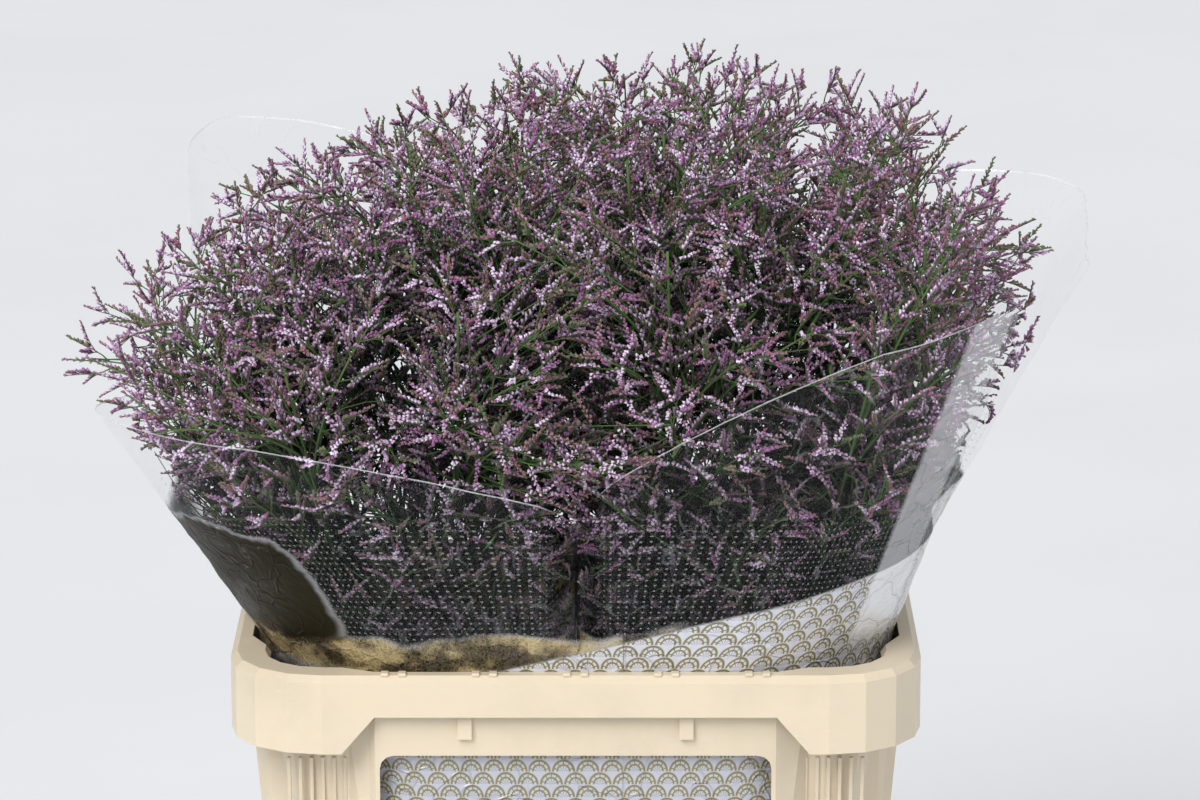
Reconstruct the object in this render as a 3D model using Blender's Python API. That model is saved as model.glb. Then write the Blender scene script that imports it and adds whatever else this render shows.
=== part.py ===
"""Statice in four clear sleeves, standing in a cream flower bucket with its raised collar.

Metres, +Z up. The origin is the middle of the bucket's underside and the front faces -Y.
Each flowering stem is one solid: a main stem, its side branches, and on each branch a spike
whose florets stand out in whorls, larger than life.
"""

import math
import random

import bmesh
import bpy
import numpy as np
from mathutils import Vector

# The bucket and its collar
RIM_LONG = 0.400
RIM_DEEP = 0.300
RIM_CORNER = 0.055
LEAST_CORNER = 0.012
RIM_Z = 0.430
BUCKET_TOP = 0.270
COLLAR_BOTTOM = 0.260
WALL = 0.003
FLOOR = 0.004
FLANGE = 0.004
RIM_BEVEL = 0.004
SEAT_GAP = 0.0003

# The lower bucket, as insets from the rim's outline
LIP_INSET = 0.002
LIP_HIGH = 0.014
LIP_BEVEL = 0.002
WALL_TOP_INSET = 0.0125
MOUTH_INSET = 0.0165
MOUTH_DRAFT = 0.0007
LEDGE_INSET = 0.030
LEDGE_DRAFT = 0.001
LEDGE_DEEP = 0.012
FOOT_INSET = 0.054
FOOT_BEVEL = 0.006

# The collar's skirt is low at its corners and arched over the four window panels
SKIRT_AT_CORNER = 0.046
SKIRT_AT_PANEL = 0.024
APRON_END = 0.066
PANEL_START = 0.085
FLANGE_AT_CORNER = 0.020
FLANGE_AT_PANEL = 0.011
LEG_INSET = 0.018
LEG_SLOPE = math.tan(math.radians(10))
PANEL_INSET = 0.006
PANEL_SLOPE = math.tan(math.radians(5))
WINDOW_TOP = 0.050
WINDOW_BOTTOM = 0.142
WINDOW_HALF_FRONT = 0.1125
WINDOW_HALF_SIDE = 0.060
WINDOW_CORNER = 0.008
NUB = Vector((0.008, 0.005, 0.017))
NUB_X = 0.0635
NUB_LAP = 0.002

# The stems, their ties and the flower head that they make together
SEED = 41
BUNCH_FOOT = Vector((0.070, 0.045))
STEMS_AROUND = 6
TIE_Z = 0.130
TIE_RING = 0.0049
TIE_THICK = 0.0014
TIE_HIGH = 0.005
TIE_SIDES = 10
FOOT_SPREAD = 0.014
STEM_R = 0.0021
STEM_TOP_R = 0.0014
HEAD_RIGHT = 0.295
HEAD_LEFT = 0.335
HEAD_DEEP = 0.215
HEAD_HIGH = 0.310
HEAD_POWER = 3.2
HEAD_FALL = 0.32
OUTLINE_STEPS = 4
EDGE_REST = 0.02
STEM_TIPS = (
    (0.118, 0.082),
    (0.240, 0.072),
    (0.172, 0.160),
    (0.062, 0.160),
    (0.024, 0.088),
    (0.058, 0.021),
    (0.165, 0.021),
)
TIP_STRAY = (0.011, 0.009)
LEAST_RISE = 0.90
STEM_TRIES = 60
SHRINK_A_TRY = 0.005

# How a stem leans: at the rim, low and high in its bend, and where that bend lies
BUNCH_AT_RIM = 1.25
LEAN_AT_RIM = 0.30
LEAN_LOW = 0.42
LEAN_HIGH = 0.72
BEND_Z = 0.31
BEND_RISE = 0.30

# The side branches and their spikes. Each layer of targets has a count, its share of the head's
# size, and how many places are drawn for each target to choose the one with most room
TARGET_LAYERS = (
    (320, 0.985, 12),
    (130, 0.76, 8),
)
LOWEST_TARGET = RIM_Z + 0.012
TARGET_ROOM = 0.010
ROOTS_FROM = 0.36
ROOTS_TO = 0.86
ROOT_PLACES = 41
BRANCH_LENGTHS = (0.055, 0.190)
BRANCH_ANGLES = (24, 72)
BEST_LENGTH = 0.105
LENGTH_LEEWAY = 0.03
BEST_ANGLE = 42
ANGLE_LEEWAY = 14
LEAVES_ALONG = 0.70
LEAVES_OUT = 0.75
LEAVES_FOR = 0.45
BRANCH_R = 0.0011
BRANCH_TAPER = 0.2
STALK_PIECE = 0.070
# A spike's florets stand in cups, each a row of (share of the spike, radius, turn in degrees)
SPIKE_LENGTH = 0.066
MOST_SPIKE = 0.62
SPIKE_CUPS = (
    (0.36, 0.0110, 0),
    (0.42, 0.0026, 30),
    (0.78, 0.0090, 60),
    (0.83, 0.0018, 90),
    (1.00, 0.0, 90),
)
ROD_GAP = 0.0006
NEAR_BY = 0.040
KEEP_STEP = 0.014
CHECK_STEP = 0.004
TIP_ROOM = 0.002
FILM_ROOM = 0.0026
EDGE_ROOM = 0.007
ROOT_FREE = 0.009
LEAST_ROOT_SPACING = 0.009
MOST_TRIES = 90

# The sleeves. Each row is a height, then the low and high side along X, the same along Y, and the
# radius of the outer corner, all in the sleeve's own quarter
FILM = 0.0007
SLEEVE_LEVELS = (
    (0.150, 0.0570, 0.0830, 0.0320, 0.0580, 0.0104),
    (0.262, 0.0003, 0.1630, 0.0003, 0.1140, 0.093),
    (0.290, 0.0003, 0.1728, 0.0003, 0.1228, 0.102),
    (RIM_Z, 0.0003, 0.1887, 0.0003, 0.1387, 0.108),
)
CORNER_TIGHTENS = 0.15
SMALL_CORNER = 0.020
NECK_SQUARENESS = 0.8
INNER_EDGE = 0.505
CORNER_SPAN = 0.3
FLARE_LEVEL = RIM_Z + 0.045
# Above the rim each quarter's sleeve flares along X and Y by these shares of its height there
SLEEVE_FLARES = {
    (-1, -1): (0.55, 0.40),
    (1, -1): (0.28, 0.40),
    (-1, 1): (0.20, 0.36),
    (1, 1): (0.56, 0.38),
}
# Edge heights of each quarter's sleeve: at its side, at its outer corner and at its front or back
SLEEVE_EDGES = {
    (-1, -1): (0.560, 0.585, 0.532),
    (1, -1): (0.625, 0.655, 0.537),
    (-1, 1): (0.610, 0.685, 0.640),
    (1, 1): (0.630, 0.650, 0.640),
}
QUARTER_NAMES = {
    (-1, -1): "front_left",
    (1, -1): "front_right",
    (-1, 1): "back_left",
    (1, 1): "back_right",
}

CREAM = (0.84, 0.76, 0.60)
LILAC = (0.42, 0.28, 0.47)
FILM_GREY = (0.80, 0.82, 0.84)
TIE_TAN = (0.55, 0.40, 0.22)


def clear_scene():
    for obj in list(bpy.data.objects):
        bpy.data.objects.remove(obj)


def make_material(name, colour, roughness, metallic=0.0, alpha=1.0):
    material = bpy.data.materials.new(name)
    material.use_nodes = True
    shader = material.node_tree.nodes["Principled BSDF"]
    shader.inputs["Base Color"].default_value = (*colour, 1.0)
    shader.inputs["Roughness"].default_value = roughness
    shader.inputs["Metallic"].default_value = metallic
    shader.inputs["Alpha"].default_value = alpha
    return material


def make_object(name, points, faces, material):
    mesh = bpy.data.meshes.new(name)
    mesh.from_pydata([tuple(p) for p in points], [], faces)
    work = bmesh.new()
    work.from_mesh(mesh)
    bmesh.ops.recalc_face_normals(work, faces=work.faces)
    work.to_mesh(mesh)
    work.free()
    obj = bpy.data.objects.new(name, mesh)
    if material:
        mesh.materials.append(material)
    bpy.context.scene.collection.objects.link(obj)
    return obj


def bridge_loops(count, first, second):
    """Quads between two loops of count points each, whose points start at these indices."""
    return [
        (first + i, first + (i + 1) % count, second + (i + 1) % count, second + i)
        for i in range(count)
    ]


# The moulded container


def outline_stations(corner_steps, with_panels):
    """Points round the rim's outline, anticlockwise: (point, outward direction, share, corner).

    The share is 1 at the corners and 0 along the middle of each side. The corner holds the signs
    of X and Y there, or zeros along a side.
    """
    stations = []
    signs = ((1, 1), (-1, 1), (-1, -1), (1, -1))
    for quarter, (sx, sy) in enumerate(signs):
        turn = quarter * math.pi / 2
        centre = Vector((sx * (RIM_LONG / 2 - RIM_CORNER), sy * (RIM_DEEP / 2 - RIM_CORNER)))
        for step in range(corner_steps + 1):
            angle = turn + step / corner_steps * math.pi / 2
            out = Vector((math.cos(angle), math.sin(angle)))
            stations.append((centre + RIM_CORNER * out, out, 1.0, Vector((sx, sy))))
        if not with_panels:
            continue
        out = Vector((math.cos(turn + math.pi / 2), math.sin(turn + math.pi / 2)))
        along = Vector((-out.y, out.x))
        half_run, half_far = RIM_LONG / 2, RIM_DEEP / 2
        if quarter % 2:
            half_run, half_far = half_far, half_run
        apron, panel = half_run - APRON_END, half_run - PANEL_START
        for place, share in ((-apron, 1.0), (-panel, 0.0), (panel, 0.0), (apron, 1.0)):
            stations.append((out * half_far + along * place, out, share, Vector((0, 0))))
    return stations


def moulded_ring(stations, profile, closed):
    """Points and faces of a profile swept round the stations.

    Each profile row is (inset at the corners, inset at the panels, z there, z here).
    """
    points, faces = [], []
    count = len(stations)
    for corner_inset, panel_inset, corner_z, panel_z in profile:
        for point, out, share, corner in stations:
            inset = share * corner_inset + (1 - share) * panel_inset
            z = share * corner_z + (1 - share) * panel_z
            # Past the least radius, the whole corner moves in rather than shrinking to a point
            past = max(0.0, inset - RIM_CORNER + LEAST_CORNER) if corner.length else 0.0
            place = point - out * (inset - past) - corner * past
            points.append((place.x, place.y, z))
    for row in range(len(profile) - 1):
        faces += bridge_loops(count, row * count, (row + 1) * count)
    last = (len(profile) - 1) * count
    if closed:
        faces += bridge_loops(count, last, 0)
    else:
        faces.append(tuple(range(count)))
        faces.append(tuple(range(last, last + count)))
    return points, faces


def make_cutter(name, half_x, half_y, low_z, high_z, run_along_y):
    """A rounded window cutter that passes right through two facing walls."""
    work = bmesh.new()
    bmesh.ops.create_cube(work, size=1.0)
    for vert in work.verts:
        vert.co.x *= 2 * half_x
        vert.co.y *= 2 * half_y
        vert.co.z = low_z if vert.co.z < 0 else high_z
    axis = 1 if run_along_y else 0
    edges = [e for e in work.edges if abs((e.verts[0].co - e.verts[1].co)[axis]) > WALL]
    bmesh.ops.bevel(
        work, geom=edges, offset=WINDOW_CORNER, segments=3, profile=0.5, affect="EDGES"
    )
    mesh = bpy.data.meshes.new(name)
    work.to_mesh(mesh)
    work.free()
    cutter = bpy.data.objects.new(name, mesh)
    cutter.hide_render = True
    cutter.display_type = "WIRE"
    bpy.context.scene.collection.objects.link(cutter)
    return cutter


def add_boolean(obj, other, operation):
    modifier = obj.modifiers.new(other.name, "BOOLEAN")
    modifier.operation = operation
    modifier.solver = "EXACT"
    modifier.object = other


def leg_inset(z):
    return LEG_INSET + (RIM_Z - z) * LEG_SLOPE


def panel_inset(z):
    return PANEL_INSET + (RIM_Z - z) * PANEL_SLOPE


def make_collar(material):
    under = RIM_Z - FLANGE
    corner_hem, panel_hem = RIM_Z - SKIRT_AT_CORNER, RIM_Z - SKIRT_AT_PANEL
    low = COLLAR_BOTTOM
    profile = (
        (0.0, 0.0, corner_hem, panel_hem),
        (0.0, 0.0, under, under),
        (RIM_BEVEL, RIM_BEVEL, RIM_Z, RIM_Z),
        (FLANGE_AT_CORNER, FLANGE_AT_PANEL, RIM_Z, RIM_Z),
        (FLANGE_AT_CORNER + WALL, FLANGE_AT_PANEL, under, under),
        (leg_inset(under) + WALL, panel_inset(under) + WALL, under - WALL, under - WALL),
        (leg_inset(low) + WALL, panel_inset(low) + WALL, low, low),
        (leg_inset(low), panel_inset(low), low, low),
        (leg_inset(under), panel_inset(under), under, under),
        (WALL, WALL, under, under),
        (WALL, WALL, corner_hem, panel_hem),
    )
    points, faces = moulded_ring(outline_stations(4, True), profile, closed=True)
    collar = make_object("bucket_collar", points, faces, material)
    top, bottom = RIM_Z - WINDOW_TOP, RIM_Z - WINDOW_BOTTOM
    cutters = (
        make_cutter("front_back_windows", WINDOW_HALF_FRONT, RIM_DEEP, bottom, top, True),
        make_cutter("side_windows", RIM_LONG, WINDOW_HALF_SIDE, bottom, top, False),
    )
    for cutter in cutters:
        add_boolean(collar, cutter, "DIFFERENCE")
    add_boolean(collar, make_nubs(), "UNION")


def make_nubs():
    """Small upright ribs under the band, two at the front and two at the back."""
    work = bmesh.new()
    top = RIM_Z - SKIRT_AT_PANEL + NUB_LAP
    for side in (-1, 1):
        for place in (-NUB_X, NUB_X):
            made = bmesh.ops.create_cube(work, size=1.0)["verts"]
            face_y = RIM_DEEP / 2 - panel_inset(top - NUB.z) - WALL / 2
            for vert in made:
                vert.co.x = place + vert.co.x * NUB.x
                vert.co.y = side * (face_y + (vert.co.y + 0.5) * NUB.y)
                vert.co.z = top - NUB.z * (0.5 - vert.co.z)
    bmesh.ops.recalc_face_normals(work, faces=work.faces)
    mesh = bpy.data.meshes.new("nubs")
    work.to_mesh(mesh)
    work.free()
    nubs = bpy.data.objects.new("nubs", mesh)
    nubs.hide_render = True
    nubs.display_type = "WIRE"
    bpy.context.scene.collection.objects.link(nubs)
    return nubs


def make_bucket(material):
    lip_low = BUCKET_TOP - LIP_HIGH
    ledge_z = COLLAR_BOTTOM - SEAT_GAP
    rows = (
        (FOOT_INSET + FOOT_BEVEL, 0.0),
        (FOOT_INSET, FOOT_BEVEL),
        (WALL_TOP_INSET, lip_low),
        (LIP_INSET, lip_low),
        (LIP_INSET, BUCKET_TOP - LIP_BEVEL),
        (LIP_INSET + LIP_BEVEL, BUCKET_TOP),
        (MOUTH_INSET, BUCKET_TOP),
        (MOUTH_INSET + MOUTH_DRAFT, ledge_z),
        (LEDGE_INSET, ledge_z),
        (LEDGE_INSET + LEDGE_DRAFT, ledge_z - LEDGE_DEEP),
        (FOOT_INSET + WALL, FLOOR + FOOT_BEVEL),
        (FOOT_INSET + WALL + FOOT_BEVEL, FLOOR),
    )
    profile = [(inset, inset, z, z) for inset, z in rows]
    points, faces = moulded_ring(outline_stations(5, False), profile, closed=False)
    make_object("bucket", points, faces, material)


# The sleeves, described in the quarter where x and y are both positive


def sleeve_section(quarter, z):
    """(low x, high x, low y, high y, outer corner radius) of a sleeve's outside at these heights."""
    heights, *sides = zip(*SLEEVE_LEVELS)
    low_x, high_x, low_y, high_y, corner = (np.interp(z, heights, side) for side in sides)
    flare_long, flare_deep = SLEEVE_FLARES[quarter]
    up = np.maximum(z - RIM_Z, 0)
    corner = corner - CORNER_TIGHTENS * up
    return low_x, high_x + flare_long * up, low_y, high_y + flare_deep * up, corner


def small_corner(section):
    """The radius of a section's three inner corners."""
    low_x, high_x, low_y, high_y, _ = section
    half = np.minimum(high_x - low_x, high_y - low_y) / 2
    return np.minimum(SMALL_CORNER, NECK_SQUARENESS * half)


def section_outline(section, inset=0.0):
    """The section's outline as points with the share of the way round its four corners.

    The corners count 0 at the middle of the bucket, 1 at the side, 2 outside, 3 at the front or back.
    """
    low_x, high_x, low_y, high_y, outer = section
    small = small_corner(section)
    corners = (
        (low_x, low_y, small, math.pi, 1),
        (high_x, low_y, small, 1.5 * math.pi, 2),
        (high_x, high_y, outer, 0.0, 5),
        (low_x, high_y, small, 0.5 * math.pi, 2),
    )
    points, shares = [], []
    for number, (x, y, radius, start, steps) in enumerate(corners):
        centre_x = x + radius if number in (0, 3) else x - radius
        centre_y = y + radius if number in (0, 1) else y - radius
        for step in range(steps + 1):
            angle = start + step / steps * math.pi / 2
            reach = radius - inset
            points.append((centre_x + reach * math.cos(angle), centre_y + reach * math.sin(angle)))
            shares.append(number + CORNER_SPAN * (step / steps - 0.5))
    return np.array(points), np.array(shares) % 4


def edge_heights(quarter, shares):
    """The height of a sleeve's top edge at each share of the way round."""
    side, corner, front = SLEEVE_EDGES[quarter]
    return np.interp(shares, (0, 1, 2, 3, 4), (INNER_EDGE, side, corner, front, INNER_EDGE))


def section_distance(section, x, y):
    """How far points lie outside a section, negative inside it."""
    low_x, high_x, low_y, high_y, outer = section
    half_x, half_y = (high_x - low_x) / 2, (high_y - low_y) / 2
    from_x, from_y = x - (low_x + high_x) / 2, y - (low_y + high_y) / 2
    radius = np.where((from_x > 0) & (from_y > 0), outer, small_corner(section))
    over_x, over_y = np.abs(from_x) - half_x + radius, np.abs(from_y) - half_y + radius
    outside = np.hypot(np.maximum(over_x, 0), np.maximum(over_y, 0))
    return np.minimum(np.maximum(over_x, over_y), 0) + outside - radius


def edge_near(quarter, section, x, y):
    """The height of the film's edge on the side of the sleeve that is nearest to these places."""
    low_x, high_x, low_y, high_y, _ = section
    along = np.clip((x - low_x) / (high_x - low_x), 0, 1)
    across = np.clip((y - low_y) / (high_y - low_y), 0, 1)
    distances = np.array([across, 1 - along, 1 - across, along])
    shares = np.array([along, 1 + across, 3 - along, 4 - across])
    nearest = distances.argmin(0)
    return edge_heights(quarter, np.take_along_axis(shares, nearest[None], 0)[0])


def film_blocks(quarter, places, radii):
    """True if a rod with these places would leave its own sleeve or touch any sleeve's film."""
    high = places[:, 2] > SLEEVE_LEVELS[0][0]
    x, y, z = places[high].T
    room = radii[high] + FILM + FILM_ROOM
    for other in SLEEVE_EDGES:
        section = sleeve_section(other, z)
        gap = section_distance(section, other[0] * x, other[1] * y)
        if other == quarter and ((gap > -room) & (z < INNER_EDGE + EDGE_ROOM)).any():
            return True
        edge = edge_near(other, section, other[0] * x, other[1] * y)
        if ((abs(gap) < room) & (z < edge + room + EDGE_ROOM)).any():
            return True
    return False


def make_sleeve(quarter, material):
    """One clear sleeve: a thin funnel from the tied stems up to its slanting top edge."""
    levels = [row[0] for row in SLEEVE_LEVELS] + [FLARE_LEVEL]
    _, shares = section_outline(sleeve_section(quarter, RIM_Z))
    count = len(shares)
    tops = edge_heights(quarter, shares)
    walls = []
    for inset in (0.0, FILM):
        loops = []
        for z in levels:
            outline, _ = section_outline(sleeve_section(quarter, z), inset)
            loops.append([(x, y, z) for x, y in outline])
        top_loop = []
        for number, z in enumerate(tops):
            outline, _ = section_outline(sleeve_section(quarter, z), inset)
            top_loop.append((*outline[number], z))
        loops.append(top_loop)
        walls.append(loops)
    loops = walls[0] + walls[1][::-1]
    points = [(quarter[0] * x, quarter[1] * y, z) for loop in loops for x, y, z in loop]
    faces = []
    for row in range(len(loops)):
        faces += bridge_loops(count, row * count, (row + 1) % len(loops) * count)
    name = "sleeve_" + QUARTER_NAMES[quarter]
    make_object(name, points, faces, material)


def make_tie(quarter, material):
    """The rubber band that holds one bunch of stems together."""
    inner = (TIE_RING + STEM_R + SEAT_GAP) / math.cos(math.pi / TIE_SIDES)
    profile = (
        (inner, TIE_Z - TIE_HIGH / 2),
        (inner + TIE_THICK, TIE_Z - TIE_HIGH / 2),
        (inner + TIE_THICK, TIE_Z + TIE_HIGH / 2),
        (inner, TIE_Z + TIE_HIGH / 2),
    )
    points, faces = [], []
    for radius, z in profile:
        for side in range(TIE_SIDES):
            angle = 2 * math.pi * side / TIE_SIDES
            x = quarter[0] * BUNCH_FOOT.x + radius * math.cos(angle)
            y = quarter[1] * BUNCH_FOOT.y + radius * math.sin(angle)
            points.append((x, y, z))
    for row in range(4):
        faces += bridge_loops(TIE_SIDES, row * TIE_SIDES, (row + 1) % 4 * TIE_SIDES)
    make_object("tie_" + QUARTER_NAMES[quarter], points, faces, material)


# How the statice grows


def head_size(x):
    """The flower head's half length on this side, and its height here, which falls away to the left."""
    if x > 0:
        return HEAD_RIGHT, HEAD_HIGH
    return HEAD_LEFT, HEAD_HIGH * (1 - HEAD_FALL * min(1.0, -x / HEAD_LEFT))


def head_share(point, scale=1.0):
    """Below 1 inside the flower head's rounded outline, and above 1 outside it."""
    half, high = head_size(point[0])
    x = abs(point[0]) / (half * scale)
    y = abs(point[1]) / (HEAD_DEEP * scale)
    z = max(0.0, point[2] - RIM_Z) / (high * scale)
    return (x**HEAD_POWER + y**HEAD_POWER + z**HEAD_POWER) ** (1 / HEAD_POWER)


def head_top(x, y):
    """The height of the flower head's outline above this place."""
    half, high = head_size(x)
    rest = 1 - (abs(x) / half) ** HEAD_POWER - (abs(y) / HEAD_DEEP) ** HEAD_POWER
    return RIM_Z + high * max(rest, EDGE_REST) ** (1 / HEAD_POWER)


def bezier(controls, share):
    """Points of a Bezier curve through these shares of its length."""
    share = np.asarray(share, float)[:, None]
    points = [np.asarray(c, float)[None, :] for c in controls]
    while len(points) > 1:
        points = [a + (b - a) * share for a, b in zip(points, points[1:])]
    return points[0]


def curve_length(controls):
    steps = bezier(controls, np.linspace(0, 1, 17))
    return float(np.linalg.norm(np.diff(steps, axis=0), axis=1).sum())


class Thicket:
    """The rods that stand so far, each a row of short straight pieces, kept clear of each other."""

    def __init__(self):
        self.start = np.zeros((0, 3))
        self.run = np.zeros((0, 3))
        self.radius = np.zeros(0)
        self.rod = np.zeros(0, int)

    def add(self, rod, number):
        """Keeps the rod as short pieces, so that each has nearly its own radius."""
        places, radii = spread_along(rod, KEEP_STEP)
        self.start = np.vstack([self.start, places[:-1]])
        self.run = np.vstack([self.run, np.diff(places, axis=0)])
        self.radius = np.append(self.radius, np.maximum(radii[:-1], radii[1:]))
        self.rod = np.append(self.rod, np.full(len(places) - 1, number))

    def is_clear(self, places, radii, parent):
        """True if these places keep their gap, apart from to the parent near their own root."""
        low, high = places.min(0) - NEAR_BY, places.max(0) + NEAR_BY
        near_by = ((self.start > low) & (self.start < high)).all(1)
        start, run = self.start[near_by], self.run[near_by]
        to_place = places[:, None, :] - start[None]
        along = (to_place * run[None]).sum(2) / (run**2).sum(1)[None]
        to_rod = to_place - run[None] * np.clip(along, 0, 1)[..., None]
        gap = np.linalg.norm(to_rod, axis=2) - self.radius[near_by][None] - radii[:, None]
        from_root = np.linalg.norm(places - places[0], axis=1)
        at_root = (from_root < ROOT_FREE)[:, None] & (self.rod[near_by] == parent)[None]
        return bool((gap > ROD_GAP)[~at_root].all())


def spread_along(rod, step):
    """Places no further apart than step along a rod, with the radius at each."""
    points, sizes = rod
    places, radii = [points[0]], [sizes[0][0]]
    for a, b, (low, _), (high, _) in zip(points, points[1:], sizes, sizes[1:]):
        count = max(1, math.ceil(np.linalg.norm(b - a) / step))
        for number in range(1, count + 1):
            share = number / count
            places.append(a + (b - a) * share)
            radii.append(low + (high - low) * share)
    return np.array(places), np.array(radii)


def stem_controls(quarter, number, tip):
    """The Bezier controls of a main stem above its tie, and the foot below it."""
    ring = np.zeros(2)
    if number:
        angle = 2 * math.pi * (number - 1) / STEMS_AROUND
        ring = np.array([math.cos(angle), math.sin(angle)])
    foot_middle = np.array(BUNCH_FOOT)
    tie = foot_middle + ring * TIE_RING
    foot = foot_middle + ring * FOOT_SPREAD
    target = np.array(tip[:2])
    gathered = foot_middle * BUNCH_AT_RIM
    rim = gathered + (target - gathered) * LEAN_AT_RIM
    rise = tip[2] - RIM_Z
    flat = (foot, tie, tie + (rim - tie) * LEAN_LOW, tie + (target - tie) * LEAN_HIGH, target)
    heights = (FLOOR + SEAT_GAP, TIE_Z, BEND_Z, RIM_Z + BEND_RISE * rise, tip[2])
    points = [(quarter[0] * x, quarter[1] * y, z) for (x, y), z in zip(flat, heights)]
    return points[0], points[1:]


def branch_rod(controls):
    """A branch as its rod's places and (radius, turn) at each: a bare stalk, then its spike."""
    length = curve_length(controls)
    start = 1 - min(SPIKE_LENGTH, MOST_SPIKE * length) / length
    pieces = max(1, round(start * length / STALK_PIECE))
    shares = list(np.linspace(0, start, pieces + 1))
    sizes = [(BRANCH_R * (1 - BRANCH_TAPER * share), 0) for share in shares]
    return add_spike(controls, start, shares, sizes)


def stem_rod(foot, controls):
    """A main stem as its rod's places and (radius, turn) at each, from its foot to its tip."""
    start = 1 - SPIKE_LENGTH / curve_length(controls)
    shares = list(np.linspace(0, start, 5))
    sizes = [(STEM_R + (STEM_TOP_R - STEM_R) * share, 0) for share in shares]
    places, sizes = add_spike(controls, start, shares, sizes)
    return np.vstack([[foot], places]), [(STEM_R, 0)] + sizes


def add_spike(controls, start, shares, sizes):
    """The rod's places with a spike of floret cups added from this share of its length on."""
    shares = shares + [start + (1 - start) * share for share, _, _ in SPIKE_CUPS]
    sizes = sizes + [(radius, turn) for _, radius, turn in SPIKE_CUPS]
    return bezier(controls, shares), sizes


def grow_stems(draw, thicket):
    """Main stems of all four bunches: (quarter, rod, controls)."""
    stems = []
    for quarter in SLEEVE_EDGES:
        for number, (x, y) in enumerate(STEM_TIPS):
            for attempt in range(STEM_TRIES):
                shrink = 1 - SHRINK_A_TRY * attempt
                tip_x = x * shrink + draw.uniform(-TIP_STRAY[0], TIP_STRAY[0])
                tip_y = y * shrink + draw.uniform(-TIP_STRAY[1], TIP_STRAY[1])
                rise = draw.uniform(LEAST_RISE, 1.0)
                top = head_top(quarter[0] * tip_x, quarter[1] * tip_y)
                tip = (tip_x, tip_y, RIM_Z + (top - RIM_Z) * rise)
                foot, controls = stem_controls(quarter, number, tip)
                rod = stem_rod(foot, controls)
                places, radii = spread_along(rod, CHECK_STEP)
                if film_blocks(quarter, places, radii):
                    continue
                if thicket.is_clear(places, radii, -1):
                    thicket.add(rod, len(stems))
                    stems.append((quarter, rod, controls))
                    break
    return stems


def head_targets(draw):
    """Places for the spikes' tips, spread evenly over the flower head and then within it."""
    targets = []
    for count, scale, drawn in TARGET_LAYERS:
        layer = np.zeros((0, 3))
        for _ in range(count):
            best, best_room = None, -1.0
            for _ in range(drawn):
                point = random_place(draw, scale)
                room = np.inf
                if len(layer):
                    room = np.linalg.norm(layer - point, axis=1).min()
                if room > best_room:
                    best, best_room = point, room
            layer = np.vstack([layer, best])
        targets += list(layer)
    return targets


def random_place(draw, scale):
    """A place on the head's outline at this scale, drawn inside the film where that reaches."""
    spread = (HEAD_RIGHT, HEAD_DEEP, HEAD_HIGH)
    point = np.array([draw.gauss(0, size) for size in spread])
    point[2] = abs(point[2])
    for _ in range(OUTLINE_STEPS):
        point = point / head_share((*point[:2], RIM_Z + point[2]), scale)
    point[2] += LOWEST_TARGET
    quarter = (1 if point[0] > 0 else -1, 1 if point[1] > 0 else -1)
    section = sleeve_section(quarter, point[2])
    across = abs(point[:2])
    if point[2] < edge_near(quarter, section, *across[:, None])[0] + TARGET_ROOM:
        point[:2] = drawn_inside(section, across) * quarter
    return point


def drawn_inside(section, place):
    """The place moved to at least the targets' room inside a section."""
    low_x, high_x, low_y, high_y, corner = section
    low = np.array([low_x, low_y]) + TARGET_ROOM
    high = np.array([high_x, high_y]) - TARGET_ROOM
    place = np.clip(place, low, high)
    centre = np.array([high_x, high_y]) - corner
    reach = place - centre
    past = np.hypot(*reach) / (corner - TARGET_ROOM)
    return centre + reach / past if (reach > 0).all() and past > 1 else place


def branch_controls(root, tangent, target):
    """The Bezier controls of a branch that leaves the stem along it and bends out to its target."""
    way = target - root
    length = np.linalg.norm(way)
    out = way / length
    leave = tangent * LEAVES_ALONG + out * LEAVES_OUT
    leave /= np.linalg.norm(leave)
    return (root, root + leave * length * LEAVES_FOR, target)


def grow_branches(draw, thicket, stems):
    """Side branches: (stem number, rod, controls). Each ends in a spike at its target."""
    shares = np.linspace(ROOTS_FROM, ROOTS_TO, ROOT_PLACES)
    rows = []
    for _, _, controls in stems:
        points = bezier(controls, shares)
        ahead = bezier(controls, shares + 0.01)
        tangents = ahead - points
        tangents /= np.linalg.norm(tangents, axis=1)[:, None]
        rows.append((points, tangents))
    taken = [[] for _ in stems]
    branches = []
    for target in head_targets(draw):
        made = place_branch(thicket, stems, rows, taken, target)
        if made:
            branches.append(made)
    return branches


def place_branch(thicket, stems, rows, taken, target):
    """Tries the nearest stems, and on each the places whose angle and length suit a side branch."""
    if not thicket.is_clear(target[None], np.array([TIP_ROOM]), -1):
        return None
    options = []
    shortest, longest = BRANCH_LENGTHS
    least_angle, most_angle = BRANCH_ANGLES
    for number, (points, tangents) in enumerate(rows):
        way = target - points
        length = np.linalg.norm(way, axis=1)
        angle = np.degrees(np.arccos(np.clip((way * tangents).sum(1) / length, -1, 1)))
        cost = abs(length - BEST_LENGTH) / LENGTH_LEEWAY + abs(angle - BEST_ANGLE) / ANGLE_LEEWAY
        usable = (length > shortest) & (length < longest)
        usable &= (angle > least_angle) & (angle < most_angle)
        for place in np.flatnonzero(usable):
            options.append((cost[place], number, int(place)))
    options.sort()
    for _, number, place in options[:MOST_TRIES]:
        points, tangents = rows[number]
        root = points[place]
        if any(np.linalg.norm(root - other) < LEAST_ROOT_SPACING for other in taken[number]):
            continue
        controls = branch_controls(root, tangents[place], target)
        rod = branch_rod(controls)
        places, radii = spread_along(rod, CHECK_STEP)
        if film_blocks(stems[number][0], places, radii):
            continue
        if not thicket.is_clear(places, radii, number):
            continue
        thicket.add(rod, len(stems) + sum(len(roots) for roots in taken))
        taken[number].append(root)
        return (number, rod, controls)
    return None


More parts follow.
